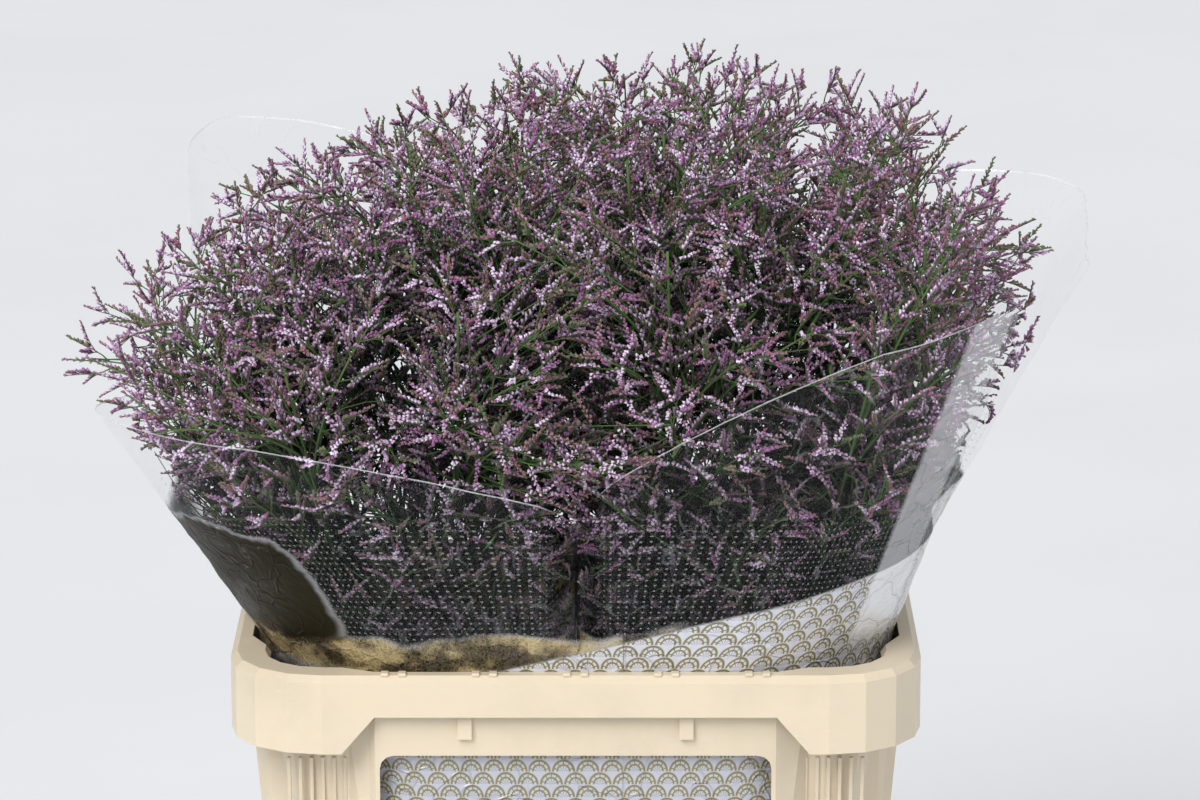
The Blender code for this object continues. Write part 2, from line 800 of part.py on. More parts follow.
def rod_mesh(points, sizes):
    """A three-sided rod through these points, whose rings have these radii and turns."""
    verts, faces = [], []
    side_way = np.array([0.31, 0.94, 0.12])
    count = len(points)
    for number in range(count):
        before, after = points[max(number - 1, 0)], points[min(number + 1, count - 1)]
        axis = after - before
        axis /= np.linalg.norm(axis)
        side_way = side_way - axis * (side_way @ axis)
        side_way /= np.linalg.norm(side_way)
        other_way = np.cross(axis, side_way)
        if number == count - 1:
            verts.append(points[number])
            break
        radius, turn = sizes[number]
        for side in range(3):
            angle = 2 * math.pi * side / 3 + math.radians(turn)
            out = side_way * math.cos(angle) + other_way * math.sin(angle)
            verts.append(points[number] + out * radius)
    faces.append((2, 1, 0))
    for number in range(count - 2):
        low, high = 3 * number, 3 * number + 3
        for side in range(3):
            after = (side + 1) % 3
            faces.append((low + side, low + after, high + after))
            faces.append((low + side, high + after, high + side))
    last, tip = 3 * (count - 2), len(verts) - 1
    for side in range(3):
        faces.append((last + side, last + (side + 1) % 3, tip))
    return verts, faces


def make_spray(number, stem, branches, material):
    """One flowering stem with its branches joined to it."""
    quarter, rod, _ = stem
    verts, faces = rod_mesh(*rod)
    name = f"spray_{QUARTER_NAMES[quarter]}_{number % len(STEM_TIPS) + 1}"
    spray = make_object(name, verts, faces, material)
    collection = bpy.data.collections.new(name + "_branches")
    bpy.context.scene.collection.children.link(collection)
    for place, (_, branch, _) in enumerate(branches):
        verts, faces = rod_mesh(*branch)
        joined = make_object(f"{name}_branch_{place}", verts, faces, None)
        bpy.context.scene.collection.objects.unlink(joined)
        collection.objects.link(joined)
    join_collection(spray, collection)
    return spray


def join_collection(spray, collection):
    """One union of the spray with all its branches, applied, after which the branches go."""
    modifier = spray.modifiers.new("branches", "BOOLEAN")
    modifier.operation = "UNION"
    modifier.operand_type = "COLLECTION"
    modifier.collection = collection
    modifier.solver = "EXACT"
    graph = bpy.context.evaluated_depsgraph_get()
    joined = bpy.data.meshes.new_from_object(spray.evaluated_get(graph))
    spray.modifiers.remove(modifier)
    spray.data = joined
    for branch in list(collection.objects):
        bpy.data.objects.remove(branch)
    bpy.data.collections.remove(collection)


def main():
    clear_scene()
    cream = make_material("cream_plastic", CREAM, 0.45)
    statice = make_material("statice", LILAC, 0.85)
    film = make_material("clear_film", FILM_GREY, 0.15, alpha=0.3)
    rubber = make_material("rubber", TIE_TAN, 0.6)
    make_bucket(cream)
    make_collar(cream)
    for quarter in SLEEVE_EDGES:
        make_sleeve(quarter, film)
        make_tie(quarter, rubber)
    draw = random.Random(SEED)
    thicket = Thicket()
    stems = grow_stems(draw, thicket)
    branches = grow_branches(draw, thicket, stems)
    for number, stem in enumerate(stems):
        own = [branch for branch in branches if branch[0] == number]
        make_spray(number, stem, own, statice)
    print("stems", len(stems), "branches", len(branches))


main()
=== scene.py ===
"""Looks for the statice in its sleeves and bucket, laid out as a Blender add-on.

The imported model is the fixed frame. Each flowering stem is grown again by the same seeded rule as
in the source, and dressed with fine twigs, dried leaves and one-sided spikes of florets. The
sleeves become thin printed film. The bucket, its collar and the ties keep their solids and get
plastic and rubber, and the collar gets nibs and ribs.
"""

import math
import random
from itertools import product

import bpy
import numpy as np
from bpy.props import FloatProperty, FloatVectorProperty, IntProperty, PointerProperty
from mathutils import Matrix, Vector, noise


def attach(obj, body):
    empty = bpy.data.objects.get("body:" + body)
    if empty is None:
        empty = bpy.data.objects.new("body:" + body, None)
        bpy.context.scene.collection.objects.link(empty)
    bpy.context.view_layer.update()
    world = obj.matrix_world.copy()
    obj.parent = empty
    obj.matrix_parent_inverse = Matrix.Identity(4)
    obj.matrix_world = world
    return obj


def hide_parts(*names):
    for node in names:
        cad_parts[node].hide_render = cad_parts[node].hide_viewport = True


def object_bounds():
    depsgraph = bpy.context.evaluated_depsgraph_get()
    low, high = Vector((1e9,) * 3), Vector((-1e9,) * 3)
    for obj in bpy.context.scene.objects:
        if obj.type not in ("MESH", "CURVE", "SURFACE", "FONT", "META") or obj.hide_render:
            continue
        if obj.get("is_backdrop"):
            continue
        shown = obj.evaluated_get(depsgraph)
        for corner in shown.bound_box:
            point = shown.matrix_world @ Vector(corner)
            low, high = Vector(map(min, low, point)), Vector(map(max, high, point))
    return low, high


bl_info = {
    "name": "Dried statice",
    "version": (1, 0, 0),
    "blender": (4, 5, 0),
    "location": "3D View > Sidebar > Statice",
    "description": "Dresses a bucket of statice with florets, printed film and moulded plastic",
    "category": "Object",
}

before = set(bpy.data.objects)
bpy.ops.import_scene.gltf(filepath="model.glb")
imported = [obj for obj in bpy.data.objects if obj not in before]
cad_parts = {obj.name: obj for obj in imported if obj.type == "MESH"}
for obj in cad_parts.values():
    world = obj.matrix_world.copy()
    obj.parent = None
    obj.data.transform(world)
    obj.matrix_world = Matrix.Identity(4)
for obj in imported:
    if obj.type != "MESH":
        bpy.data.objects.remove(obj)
CAD_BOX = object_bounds()

# The bucket's rim and the collar's legs, as in the source
RIM_DEEP = 0.300
RIM_Z = 0.430
FLOOR = 0.004
SEAT_GAP = 0.0003
LEG_INSET = 0.018
LEG_SLOPE = math.tan(math.radians(10))

# The stems, their ties and the flower head that they make together
SEED = 41
BUNCH_FOOT = Vector((0.070, 0.045))
STEMS_AROUND = 6
TIE_Z = 0.130
TIE_RING = 0.0049
FOOT_SPREAD = 0.014
STEM_R = 0.0021
STEM_TOP_R = 0.0014
HEAD_RIGHT = 0.295
HEAD_LEFT = 0.335
HEAD_DEEP = 0.215
HEAD_HIGH = 0.310
HEAD_POWER = 3.2
HEAD_FALL = 0.32
OUTLINE_STEPS = 4
EDGE_REST = 0.02
STEM_TIPS = (
    (0.118, 0.082),
    (0.240, 0.072),
    (0.172, 0.160),
    (0.062, 0.160),
    (0.024, 0.088),
    (0.058, 0.021),
    (0.165, 0.021),
)
TIP_STRAY = (0.011, 0.009)
LEAST_RISE = 0.90
STEM_TRIES = 60
SHRINK_A_TRY = 0.005

# How a stem leans: at the rim, low and high in its bend, and where that bend lies
BUNCH_AT_RIM = 1.25
LEAN_AT_RIM = 0.30
LEAN_LOW = 0.42
LEAN_HIGH = 0.72
BEND_Z = 0.31
BEND_RISE = 0.30

# The side branches and their spikes. Each layer of targets has a count, its share of the head's
# size, and how many places are drawn for each target to choose the one with most room
TARGET_LAYERS = (
    (320, 0.985, 12),
    (130, 0.76, 8),
)
LOWEST_TARGET = RIM_Z + 0.012
TARGET_ROOM = 0.010
ROOTS_FROM = 0.36
ROOTS_TO = 0.86
ROOT_PLACES = 41
# A curve's direction at a place is taken from there to this share of it further on
AHEAD = 0.01
BRANCH_LENGTHS = (0.055, 0.190)
BRANCH_ANGLES = (24, 72)
BEST_LENGTH = 0.105
LENGTH_LEEWAY = 0.03
BEST_ANGLE = 42
ANGLE_LEEWAY = 14
LEAVES_ALONG = 0.70
LEAVES_OUT = 0.75
LEAVES_FOR = 0.45
BRANCH_R = 0.0011
BRANCH_TAPER = 0.2
STALK_PIECE = 0.070
# A spike's florets stand in cups, each a row of (share of the spike, radius, turn in degrees)
SPIKE_LENGTH = 0.066
MOST_SPIKE = 0.62
SPIKE_CUPS = (
    (0.36, 0.0110, 0),
    (0.42, 0.0026, 30),
    (0.78, 0.0090, 60),
    (0.83, 0.0018, 90),
    (1.00, 0.0, 90),
)
ROD_GAP = 0.0006
NEAR_BY = 0.040
KEEP_STEP = 0.014
CHECK_STEP = 0.004
TIP_ROOM = 0.002
FILM_ROOM = 0.0026
EDGE_ROOM = 0.007
ROOT_FREE = 0.009
LEAST_ROOT_SPACING = 0.009
MOST_TRIES = 90

# The sleeves. Each row is a height, then the low and high side along X, the same along Y, and the
# radius of the outer corner, all in the sleeve's own quarter
FILM = 0.0007
SLEEVE_LEVELS = (
    (0.150, 0.0570, 0.0830, 0.0320, 0.0580, 0.0104),
    (0.262, 0.0003, 0.1630, 0.0003, 0.1140, 0.093),
    (0.290, 0.0003, 0.1728, 0.0003, 0.1228, 0.102),
    (RIM_Z, 0.0003, 0.1887, 0.0003, 0.1387, 0.108),
)
CORNER_TIGHTENS = 0.15
SMALL_CORNER = 0.020
NECK_SQUARENESS = 0.8
INNER_EDGE = 0.505
CORNER_SPAN = 0.3
# Above the rim each quarter's sleeve flares along X and Y by these shares of its height there
SLEEVE_FLARES = {
    (-1, -1): (0.55, 0.40),
    (1, -1): (0.28, 0.40),
    (-1, 1): (0.20, 0.36),
    (1, 1): (0.56, 0.38),
}
# Edge heights of each quarter's sleeve: at its side, at its outer corner and at its front or back
SLEEVE_EDGES = {
    (-1, -1): (0.560, 0.585, 0.532),
    (1, -1): (0.625, 0.655, 0.537),
    (-1, 1): (0.610, 0.685, 0.640),
    (1, 1): (0.630, 0.650, 0.640),
}
QUARTER_NAMES = {
    (-1, -1): "front_left",
    (1, -1): "front_right",
    (-1, 1): "back_left",
    (1, 1): "back_right",
}

# How the twigs, leaves and florets stand on the stems
PLUME_LENGTH = 0.125
PLUME_SHARE = 0.86
PLUME_SPREAD = 0.042
GOLDEN_TURN = 2.4
LOW_TWIGS = (0.36, 0.86, 11)
LOW_TWIG_REACH = (0.045, 0.080)
CROSSING_TWIGS = (0.30, 0.96, 30)
CROSSING_NEAR = 0.095
CROSSING_TOP = 0.690
CROSSING_REACH = (0.002, 0.040)
BARE_TWIGS = 9
BARE_WITHIN = 0.84
BARE_FROM_TO = (0.30, 0.92)
BARE_REACH = (0.030, 0.075)
INNER_LEAVES = 16
LEAVES_FROM_TO = (0.02, 0.95)
LEAVES_WITHIN = 0.82
LEAF_LENGTH = (0.020, 0.042)
LEAF_HALF = (0.0012, 0.0020)
SEAM_PLACES = 8
SEAM_NEAR = 0.075
SEAM_OVER = 0.012
SEAM_FROM_TO = (0.440, 0.590)
BOX_MARGIN = 0.009
YOUNG_SHARE = 0.30
WALL_ROOM = 0.0038
# Painted shade: florets and stems darken from DARK_FROM inwards over DARK_RANGE of the head's
# outline, and by up to LOW_DARK from LOW_DARK_TOP down over LOW_DARK_RANGE
DARK_FROM = 0.93
DARK_RANGE = 0.27
LOW_DARK = 0.90
LOW_DARK_TOP = 0.535
LOW_DARK_RANGE = 0.10
ROW_ANGLE = 0.55
TWIG_R = 0.00055
SPIKE_STALK_R = 0.00038
FILM_GAP = 0.004
# The tubes of stems and branches: their rings, sides and ends, and how much thinner the ends are
STEM_RINGS, STEM_SIDES = 26, 7
BRANCH_RINGS, BRANCH_SIDES = 9, 5
TUBE_END = 0.985
STEM_TIP_R = 0.0008
BRANCH_THINS = 0.62
TWIG_THINS = 0.55
# Ranges of tint, from greener to browner, and a spike's middle tint with its spread
TUBE_TINT = (0.3, 0.7)
TWIG_TINT = (0.3, 0.8)
LEAF_TINT = (0.2, 0.7)
SPIKE_TINT = (0.5, 0.22)
# The florets of a spike: their number, size, lean, and what changes from its foot to its tip
FLORETS = 12
FLORETS_FROM = 0.08
FLORET_LENGTH = 0.0048
FLORET_R = 0.00115
FLORET_SHORTENS = 0.38
FLORET_NARROWS = 0.35
FLORET_LIFT = 0.66
LIFT_LESS = 0.44
LIFT_LIMITS = (0.05, 1.1)
YOUNG_BLOOM = (0.12, 0.62)
YOUNG_FROM = 0.68
YOUNG_RANGE = 0.32
YOUNG_TIP = 0.60
# A floret is a three-cornered funnel from its foot to its mouth, whose corners differ a little
FLORET_FACES = ((0, 2, 1), (0, 3, 2), (0, 1, 3), (1, 2, 3))
MOUTH_CORNERS = (1.0, 0.82, 0.90)
FLORET_BLOOM = (0.0, 1.0, 0.85, 0.70)
# A leaf is a slim closed blade: its foot, three corners at its waist, and its tip
LEAF_FACES = ((0, 2, 1), (0, 3, 2), (0, 1, 3), (4, 1, 2), (4, 2, 3), (4, 3, 1))
LEAF_BLOOM = (0.0, 0.5, 0.5, 0.5, 1.0)
STEM, FLORET = 0, 1

# The grid of the film: its heights up to the rim, rows above it, and columns round each sleeve
FILM_ROWS = (*np.linspace(0.150, 0.262, 9)[:-1], *np.linspace(0.262, RIM_Z, 23))
TOP_ROWS = 24
CORNER_COLUMNS = (4, 4, 22, 4)
SIDE_COLUMNS = 18
WALL_CRUMPLE = 0.0002
INNER_WALL = 0.012
# Where the crumples start over the rim, and how much further up they reach their full depth
CRUMPLE_FROM = 0.004
CRUMPLE_RISE = 0.05
# The same for the creases that go inwards lower down, and their share of the depth there
INWARD_FROM = 0.20
INWARD_RISE = 0.08
INWARD_LOW = 0.35
# Each layer of creases: how fine it is round and up the sleeve, and its share of the depth
BROAD_CREASES = (22, 15, 0.50)
FOLD_CREASES = (46, 24, 0.34)
FINE_CREASES = (105, 70, 0.16)
# The strips over the joins between sleeves: name, the two sleeves, and the axis it is wide along
LAPS = (
    ("film_front_lap", ((-1, -1), (1, -1)), 0),
    ("film_back_lap", ((-1, 1), (1, 1)), 0),
    ("film_left_lap", ((-1, -1), (-1, 1)), 1),
    ("film_right_lap", ((1, -1), (1, 1)), 1),
)
LAP_HALF = 0.027
LAP_FOOT = 0.262
LAP_OUT = 0.0003
LAP_CRUMPLE = 0.5
LAP_BELOW_EDGE = 0.003
LAP_COLUMNS = 9
LAP_ROWS = 44

# What is printed and punched on the film
HOLE_PITCH = 0.0036
HOLES_TOP = 0.540
FAN_WIDE = 0.014
FAN_HIGH = 0.008
PRINT_FROM_X = 0.044
PRINT_SLOPE = 0.27
PRINT_UNDER_RIM = 0.015
# Painted shade on the print below the rim: how far under the rim it starts and where it is full
PRINT_SHADED = (0.010, 0.045)
# Painted highlight along the film's top edge: how far below the edge it starts, and where it is
# full
EDGE_HIGHLIGHT = (0.0014, 0.0005)
PRINT_GROUND = (0.68, 0.69, 0.78, 1)
PRINT_LINE = (0.23, 0.20, 0.065, 1)
# The print's ground in painted shade below the rim
PRINT_IN_SHADE = (0.52, 0.53, 0.61, 1)
FILM_WHITE = (0.88, 0.89, 0.92, 1)
NET_ABOVE = 0.030
NET_TO_X = 0.075
# The net's gold, painted as lit on its folds and in shade between them
NET_GOLD_LIT = (0.56, 0.44, 0.22, 1)
NET_SHADE = (0.20, 0.15, 0.07, 1)
BAND_MIDDLE = (-0.185, 0.052)
BAND_HALF = (0.042, 0.040)
BAND_LEAN = 0.55
BAND_OLIVE = (0.026, 0.022, 0.011, 1)
# A fold down the front right sleeve's outer corner, painted as a whitish highlight: its place, half
# width and lean
FLAP_X = 0.166
FLAP_HALF = 0.014
FLAP_LEAN = 0.30
# How much the film hides where it is folded, punched, edged, seen aslant, olive or turned over; at
# the folds, the edge, the aslant view and the turned-over strip this is a painted highlight
LIT_FOLD_COVER = 0.10
HOLE_COVER = 0.22
EDGE_HIGHLIGHT_COVER = 0.50
GLANCE_REFLECTION_COVER = 0.22
BAND_COVER = 0.95
FLAP_COVER = 0.42
FILM_COAT = 0.6

# The rim's stacking nibs and the ribs on the collar's legs
RIM_LEDGE = 0.011
NIB_PAIRS = 2
NIB_PITCH = 0.052
NIB_APART = 0.010
NIB_LONG = 0.0045
NIB_DEEP = 0.0060
NIB_HIGH = 0.0016
NIB_SUNK = 0.0005
RIB_COUNT = 6
RIB_FROM = 0.1330
RIB_PITCH = 0.0065
RIB_WIDE = 0.0022
RIB_DEEP = 0.0016
RIB_SUNK = 0.0010
RIB_TOP = 0.374
RIB_BOTTOM = 0.272

# The stage
FLOOR_SIZE = 14
CAMERA_TILT = 14
CAMERA_FAR = 3.2
CAMERA_AIM = (0.014, -0.15, 0.593)
CAMERA_LENS = 170.5
CAMERA_SENSOR = 36
# The lamps: two as far as a sun, each with its name, side, strength and colour, and a soft one
LIT_PLACE = Vector((0.0, 0.0, 0.55))
SUN_SOFTNESS = 35
SUNS = (
    ("key", Vector((-0.55, -0.95, 1.0)), 2.20, (1.0, 0.99, 0.97)),
    ("side", Vector((0.95, -0.75, 0.75)), 0.40, (0.96, 0.98, 1.0)),
)
GLOSS_PLACE = Vector((-1.2, -2.3, 1.9))
GLOSS_SIZE = 1.4
GLOSS_POWER = 15


def sleeve_section(quarter, z):
    """(low x, high x, low y, high y, outer corner's radius) of a sleeve at these heights."""
    heights, *sides = zip(*SLEEVE_LEVELS)
    low_x, high_x, low_y, high_y, corner = (np.interp(z, heights, side) for side in sides)
    flare_long, flare_deep = SLEEVE_FLARES[quarter]
    up = np.maximum(z - RIM_Z, 0)
    corner = corner - CORNER_TIGHTENS * up
    return low_x, high_x + flare_long * up, low_y, high_y + flare_deep * up, corner


def small_corner(section):
    """The radius of a section's three inner corners."""
    low_x, high_x, low_y, high_y, _ = section
    half = np.minimum(high_x - low_x, high_y - low_y) / 2
    return np.minimum(SMALL_CORNER, NECK_SQUARENESS * half)


def edge_heights(quarter, shares):
    """The height of a sleeve's top edge at each share of the way round."""
    side, corner, front = SLEEVE_EDGES[quarter]
    return np.interp(shares, (0, 1, 2, 3, 4), (INNER_EDGE, side, corner, front, INNER_EDGE))


def section_distance(section, x, y):
    """How far points lie outside a section, negative inside it."""
    low_x, high_x, low_y, high_y, outer = section
    half_x, half_y = (high_x - low_x) / 2, (high_y - low_y) / 2
    from_x, from_y = x - (low_x + high_x) / 2, y - (low_y + high_y) / 2
    radius = np.where((from_x > 0) & (from_y > 0), outer, small_corner(section))
    over_x, over_y = np.abs(from_x) - half_x + radius, np.abs(from_y) - half_y + radius
    outside = np.hypot(np.maximum(over_x, 0), np.maximum(over_y, 0))
    return np.minimum(np.maximum(over_x, over_y), 0) + outside - radius


def edge_near(quarter, section, x, y):
    """The height of the film's edge on the side of the sleeve that is nearest to these places."""
    low_x, high_x, low_y, high_y, _ = section
    along = np.clip((x - low_x) / (high_x - low_x), 0, 1)
    across = np.clip((y - low_y) / (high_y - low_y), 0, 1)
    distances = np.array([across, 1 - along, 1 - across, along])
    shares = np.array([along, 1 + across, 3 - along, 4 - across])
    nearest = distances.argmin(0)
    return edge_heights(quarter, np.take_along_axis(shares, nearest[None], 0)[0])


def film_blocks(quarter, places, radii):
    """True if a rod with these places would leave its own sleeve or touch any sleeve's film."""
    high = places[:, 2] > SLEEVE_LEVELS[0][0]
    x, y, z = places[high].T
    room = radii[high] + FILM + FILM_ROOM
    for other in SLEEVE_EDGES:
        section = sleeve_section(other, z)
        gap = section_distance(section, other[0] * x, other[1] * y)
        if other == quarter and ((gap > -room) & (z < INNER_EDGE + EDGE_ROOM)).any():
            return True
        edge = edge_near(other, section, other[0] * x, other[1] * y)
        if ((abs(gap) < room) & (z < edge + room + EDGE_ROOM)).any():
            return True
    return False


def head_size(x):
    """The head's half length on this side, and its height here, which falls away to the left."""
    if x > 0:
        return HEAD_RIGHT, HEAD_HIGH
    return HEAD_LEFT, HEAD_HIGH * (1 - HEAD_FALL * min(1.0, -x / HEAD_LEFT))


def head_share(point, scale=1.0):
    """Below 1 inside the flower head's rounded outline, and above 1 outside it."""
    half, high = head_size(point[0])
    x = abs(point[0]) / (half * scale)
    y = abs(point[1]) / (HEAD_DEEP * scale)
    z = max(0.0, point[2] - RIM_Z) / (high * scale)
    return (x**HEAD_POWER + y**HEAD_POWER + z**HEAD_POWER) ** (1 / HEAD_POWER)


def head_top(x, y):
    """The height of the flower head's outline above this place."""
    half, high = head_size(x)
    rest = 1 - (abs(x) / half) ** HEAD_POWER - (abs(y) / HEAD_DEEP) ** HEAD_POWER
    return RIM_Z + high * max(rest, EDGE_REST) ** (1 / HEAD_POWER)


def bezier(controls, share):
    """Points of a Bezier curve through these shares of its length."""
    share = np.asarray(share, float)[:, None]
    points = [np.asarray(c, float)[None, :] for c in controls]
    while len(points) > 1:
        points = [a + (b - a) * share for a, b in zip(points, points[1:])]
    return points[0]


def unit(vectors):
    return vectors / np.maximum(np.linalg.norm(vectors, axis=-1, keepdims=True), 1e-9)


def along_curve(controls, shares):
    """The places at these shares of a Bezier curve, and its unit direction at each."""
    places = bezier(controls, shares)
    return places, unit(bezier(controls, shares + AHEAD) - places)


def curve_length(controls):
    steps = bezier(controls, np.linspace(0, 1, 17))
    return float(np.linalg.norm(np.diff(steps, axis=0), axis=1).sum())


class Thicket:
    """The rods that stand so far, each a row of short straight pieces, kept clear of each other."""

    def __init__(self):
        self.start = np.zeros((0, 3))
        self.run = np.zeros((0, 3))
        self.radius = np.zeros(0)
        self.rod = np.zeros(0, int)

    def add(self, rod, number):
        """Keeps the rod as short pieces, so that each has nearly its own radius."""
        places, radii = spread_along(rod, KEEP_STEP)
        self.start = np.vstack([self.start, places[:-1]])
        self.run = np.vstack([self.run, np.diff(places, axis=0)])
        self.radius = np.append(self.radius, np.maximum(radii[:-1], radii[1:]))
        self.rod = np.append(self.rod, np.full(len(places) - 1, number))

    def is_clear(self, places, radii, parent):
        """True if these places keep their gap, apart from to the parent near their own root."""
        low, high = places.min(0) - NEAR_BY, places.max(0) + NEAR_BY
        near_by = ((self.start > low) & (self.start < high)).all(1)
        start, run = self.start[near_by], self.run[near_by]
        to_place = places[:, None, :] - start[None]
        along = (to_place * run[None]).sum(2) / (run**2).sum(1)[None]
        to_rod = to_place - run[None] * np.clip(along, 0, 1)[..., None]
        gap = np.linalg.norm(to_rod, axis=2) - self.radius[near_by][None] - radii[:, None]
        from_root = np.linalg.norm(places - places[0], axis=1)
        at_root = (from_root < ROOT_FREE)[:, None] & (self.rod[near_by] == parent)[None]
        return bool((gap > ROD_GAP)[~at_root].all())


def spread_along(rod, step):
    """Places no further apart than step along a rod, with the radius at each."""
    points, sizes = rod
    places, radii = [points[0]], [sizes[0][0]]
    for a, b, (low, _), (high, _) in zip(points, points[1:], sizes, sizes[1:]):
        count = max(1, math.ceil(np.linalg.norm(b - a) / step))
        for number in range(1, count + 1):
            share = number / count
            places.append(a + (b - a) * share)
            radii.append(low + (high - low) * share)
    return np.array(places), np.array(radii)


def fits(thicket, quarter, rod, parent):
    """True if a rod stays inside its sleeve, and clear of all film and of the rods so far."""
    places, radii = spread_along(rod, CHECK_STEP)
    return not film_blocks(quarter, places, radii) and thicket.is_clear(places, radii, parent)


def stem_controls(quarter, number, tip):
    """The Bezier controls of a main stem above its tie, and the foot below it."""
    ring = np.zeros(2)
    if number:
        angle = 2 * math.pi * (number - 1) / STEMS_AROUND
        ring = np.array([math.cos(angle), math.sin(angle)])
    foot_middle = np.array(BUNCH_FOOT)
    tie = foot_middle + ring * TIE_RING
    foot = foot_middle + ring * FOOT_SPREAD
    target = np.array(tip[:2])
    gathered = foot_middle * BUNCH_AT_RIM
    rim = gathered + (target - gathered) * LEAN_AT_RIM
    rise = tip[2] - RIM_Z
    flat = (foot, tie, tie + (rim - tie) * LEAN_LOW, tie + (target - tie) * LEAN_HIGH, target)
    heights = (FLOOR + SEAT_GAP, TIE_Z, BEND_Z, RIM_Z + BEND_RISE * rise, tip[2])
    points = [(quarter[0] * x, quarter[1] * y, z) for (x, y), z in zip(flat, heights)]
    return points[0], points[1:]


def branch_rod(controls):
    """A branch as its rod's places and (radius, turn) at each: a bare stalk, then its spike."""
    length = curve_length(controls)
    start = 1 - min(SPIKE_LENGTH, MOST_SPIKE * length) / length
    pieces = max(1, round(start * length / STALK_PIECE))
    shares = list(np.linspace(0, start, pieces + 1))
    sizes = [(BRANCH_R * (1 - BRANCH_TAPER * share), 0) for share in shares]
    return add_spike(controls, start, shares, sizes)


def stem_rod(foot, controls):
    """A main stem as its rod's places and (radius, turn) at each, from its foot to its tip."""
    start = 1 - SPIKE_LENGTH / curve_length(controls)
    shares = list(np.linspace(0, start, 5))
    sizes = [(STEM_R + (STEM_TOP_R - STEM_R) * share, 0) for share in shares]
    places, sizes = add_spike(controls, start, shares, sizes)
    return np.vstack([[foot], places]), [(STEM_R, 0)] + sizes


def add_spike(controls, start, shares, sizes):
    """The rod's places with a spike of floret cups added from this share of its length on."""
    shares = shares + [start + (1 - start) * share for share, _, _ in SPIKE_CUPS]
    sizes = sizes + [(radius, turn) for _, radius, turn in SPIKE_CUPS]
    return bezier(controls, shares), sizes


def grow_stems(draw, thicket):
    """Main stems of all four bunches: (quarter, rod, controls)."""
    stems = []
    for quarter in SLEEVE_EDGES:
        for number, (x, y) in enumerate(STEM_TIPS):
            for attempt in range(STEM_TRIES):
                shrink = 1 - SHRINK_A_TRY * attempt
                tip_x = x * shrink + draw.uniform(-TIP_STRAY[0], TIP_STRAY[0])
                tip_y = y * shrink + draw.uniform(-TIP_STRAY[1], TIP_STRAY[1])
                rise = draw.uniform(LEAST_RISE, 1.0)
                top = head_top(quarter[0] * tip_x, quarter[1] * tip_y)
                tip = (tip_x, tip_y, RIM_Z + (top - RIM_Z) * rise)
                foot, controls = stem_controls(quarter, number, tip)
                rod = stem_rod(foot, controls)
                if fits(thicket, quarter, rod, -1):
                    thicket.add(rod, len(stems))
                    stems.append((quarter, rod, controls))
                    break
    return stems


def head_targets(draw):
    """Places for the spikes' tips, spread evenly over the flower head and then within it."""
    targets = []
    for count, scale, drawn in TARGET_LAYERS:
        layer = np.zeros((0, 3))
        for _ in range(count):
            best, best_room = None, -1.0
            for _ in range(drawn):
                point = random_place(draw, scale)
                room = np.inf
                if len(layer):
                    room = np.linalg.norm(layer - point, axis=1).min()
                if room > best_room:
                    best, best_room = point, room
            layer = np.vstack([layer, best])
        targets += list(layer)
    return targets


def random_place(draw, scale):
    """A place on the head's outline at this scale, drawn inside the film where that reaches."""
    spread = (HEAD_RIGHT, HEAD_DEEP, HEAD_HIGH)
    point = np.array([draw.gauss(0, size) for size in spread])
    point[2] = abs(point[2])
    for _ in range(OUTLINE_STEPS):
        point = point / head_share((*point[:2], RIM_Z + point[2]), scale)
    point[2] += LOWEST_TARGET
    quarter = (1 if point[0] > 0 else -1, 1 if point[1] > 0 else -1)
    section = sleeve_section(quarter, point[2])
    across = abs(point[:2])
    if point[2] < edge_near(quarter, section, *across[:, None])[0] + TARGET_ROOM:
        low = np.array([section[0], section[2]]) + TARGET_ROOM
        point[:2] = moved_inside(section, across, low, TARGET_ROOM) * quarter
    return point


def moved_inside(section, places, low, room):
    """Places moved over their low limits and this far inside a section's outer sides and corner."""
    _, high_x, _, high_y, corner = section
    high = np.stack([high_x, high_y], -1)
    moved = np.clip(places, low, np.maximum(high - room, low))
    centre = high - corner[..., None]
    reach = moved - centre
    past = (np.hypot(reach[..., 0], reach[..., 1]) / (corner - room))[..., None]
    rounded = (reach > 0).all(-1, keepdims=True) & (past > 1)
    return np.where(rounded, centre + reach / np.where(rounded, past, 1), moved)


def branch_controls(root, tangent, target):
    """The Bezier controls of a branch that leaves the stem along it and bends out to its target."""
    way = target - root
    length = np.linalg.norm(way)
    out = way / length
    leave = tangent * LEAVES_ALONG + out * LEAVES_OUT
    leave /= np.linalg.norm(leave)
    return (root, root + leave * length * LEAVES_FOR, target)


def grow_branches(draw, thicket, stems):
    """Side branches: (stem number, rod, controls). Each ends in a spike at its target."""
    shares = np.linspace(ROOTS_FROM, ROOTS_TO, ROOT_PLACES)
    rows = [along_curve(controls, shares) for _, _, controls in stems]
    taken = [[] for _ in stems]
    branches = []
    for target in head_targets(draw):
        made = place_branch(thicket, stems, rows, taken, target)
        if made:
            branches.append(made)
    return branches


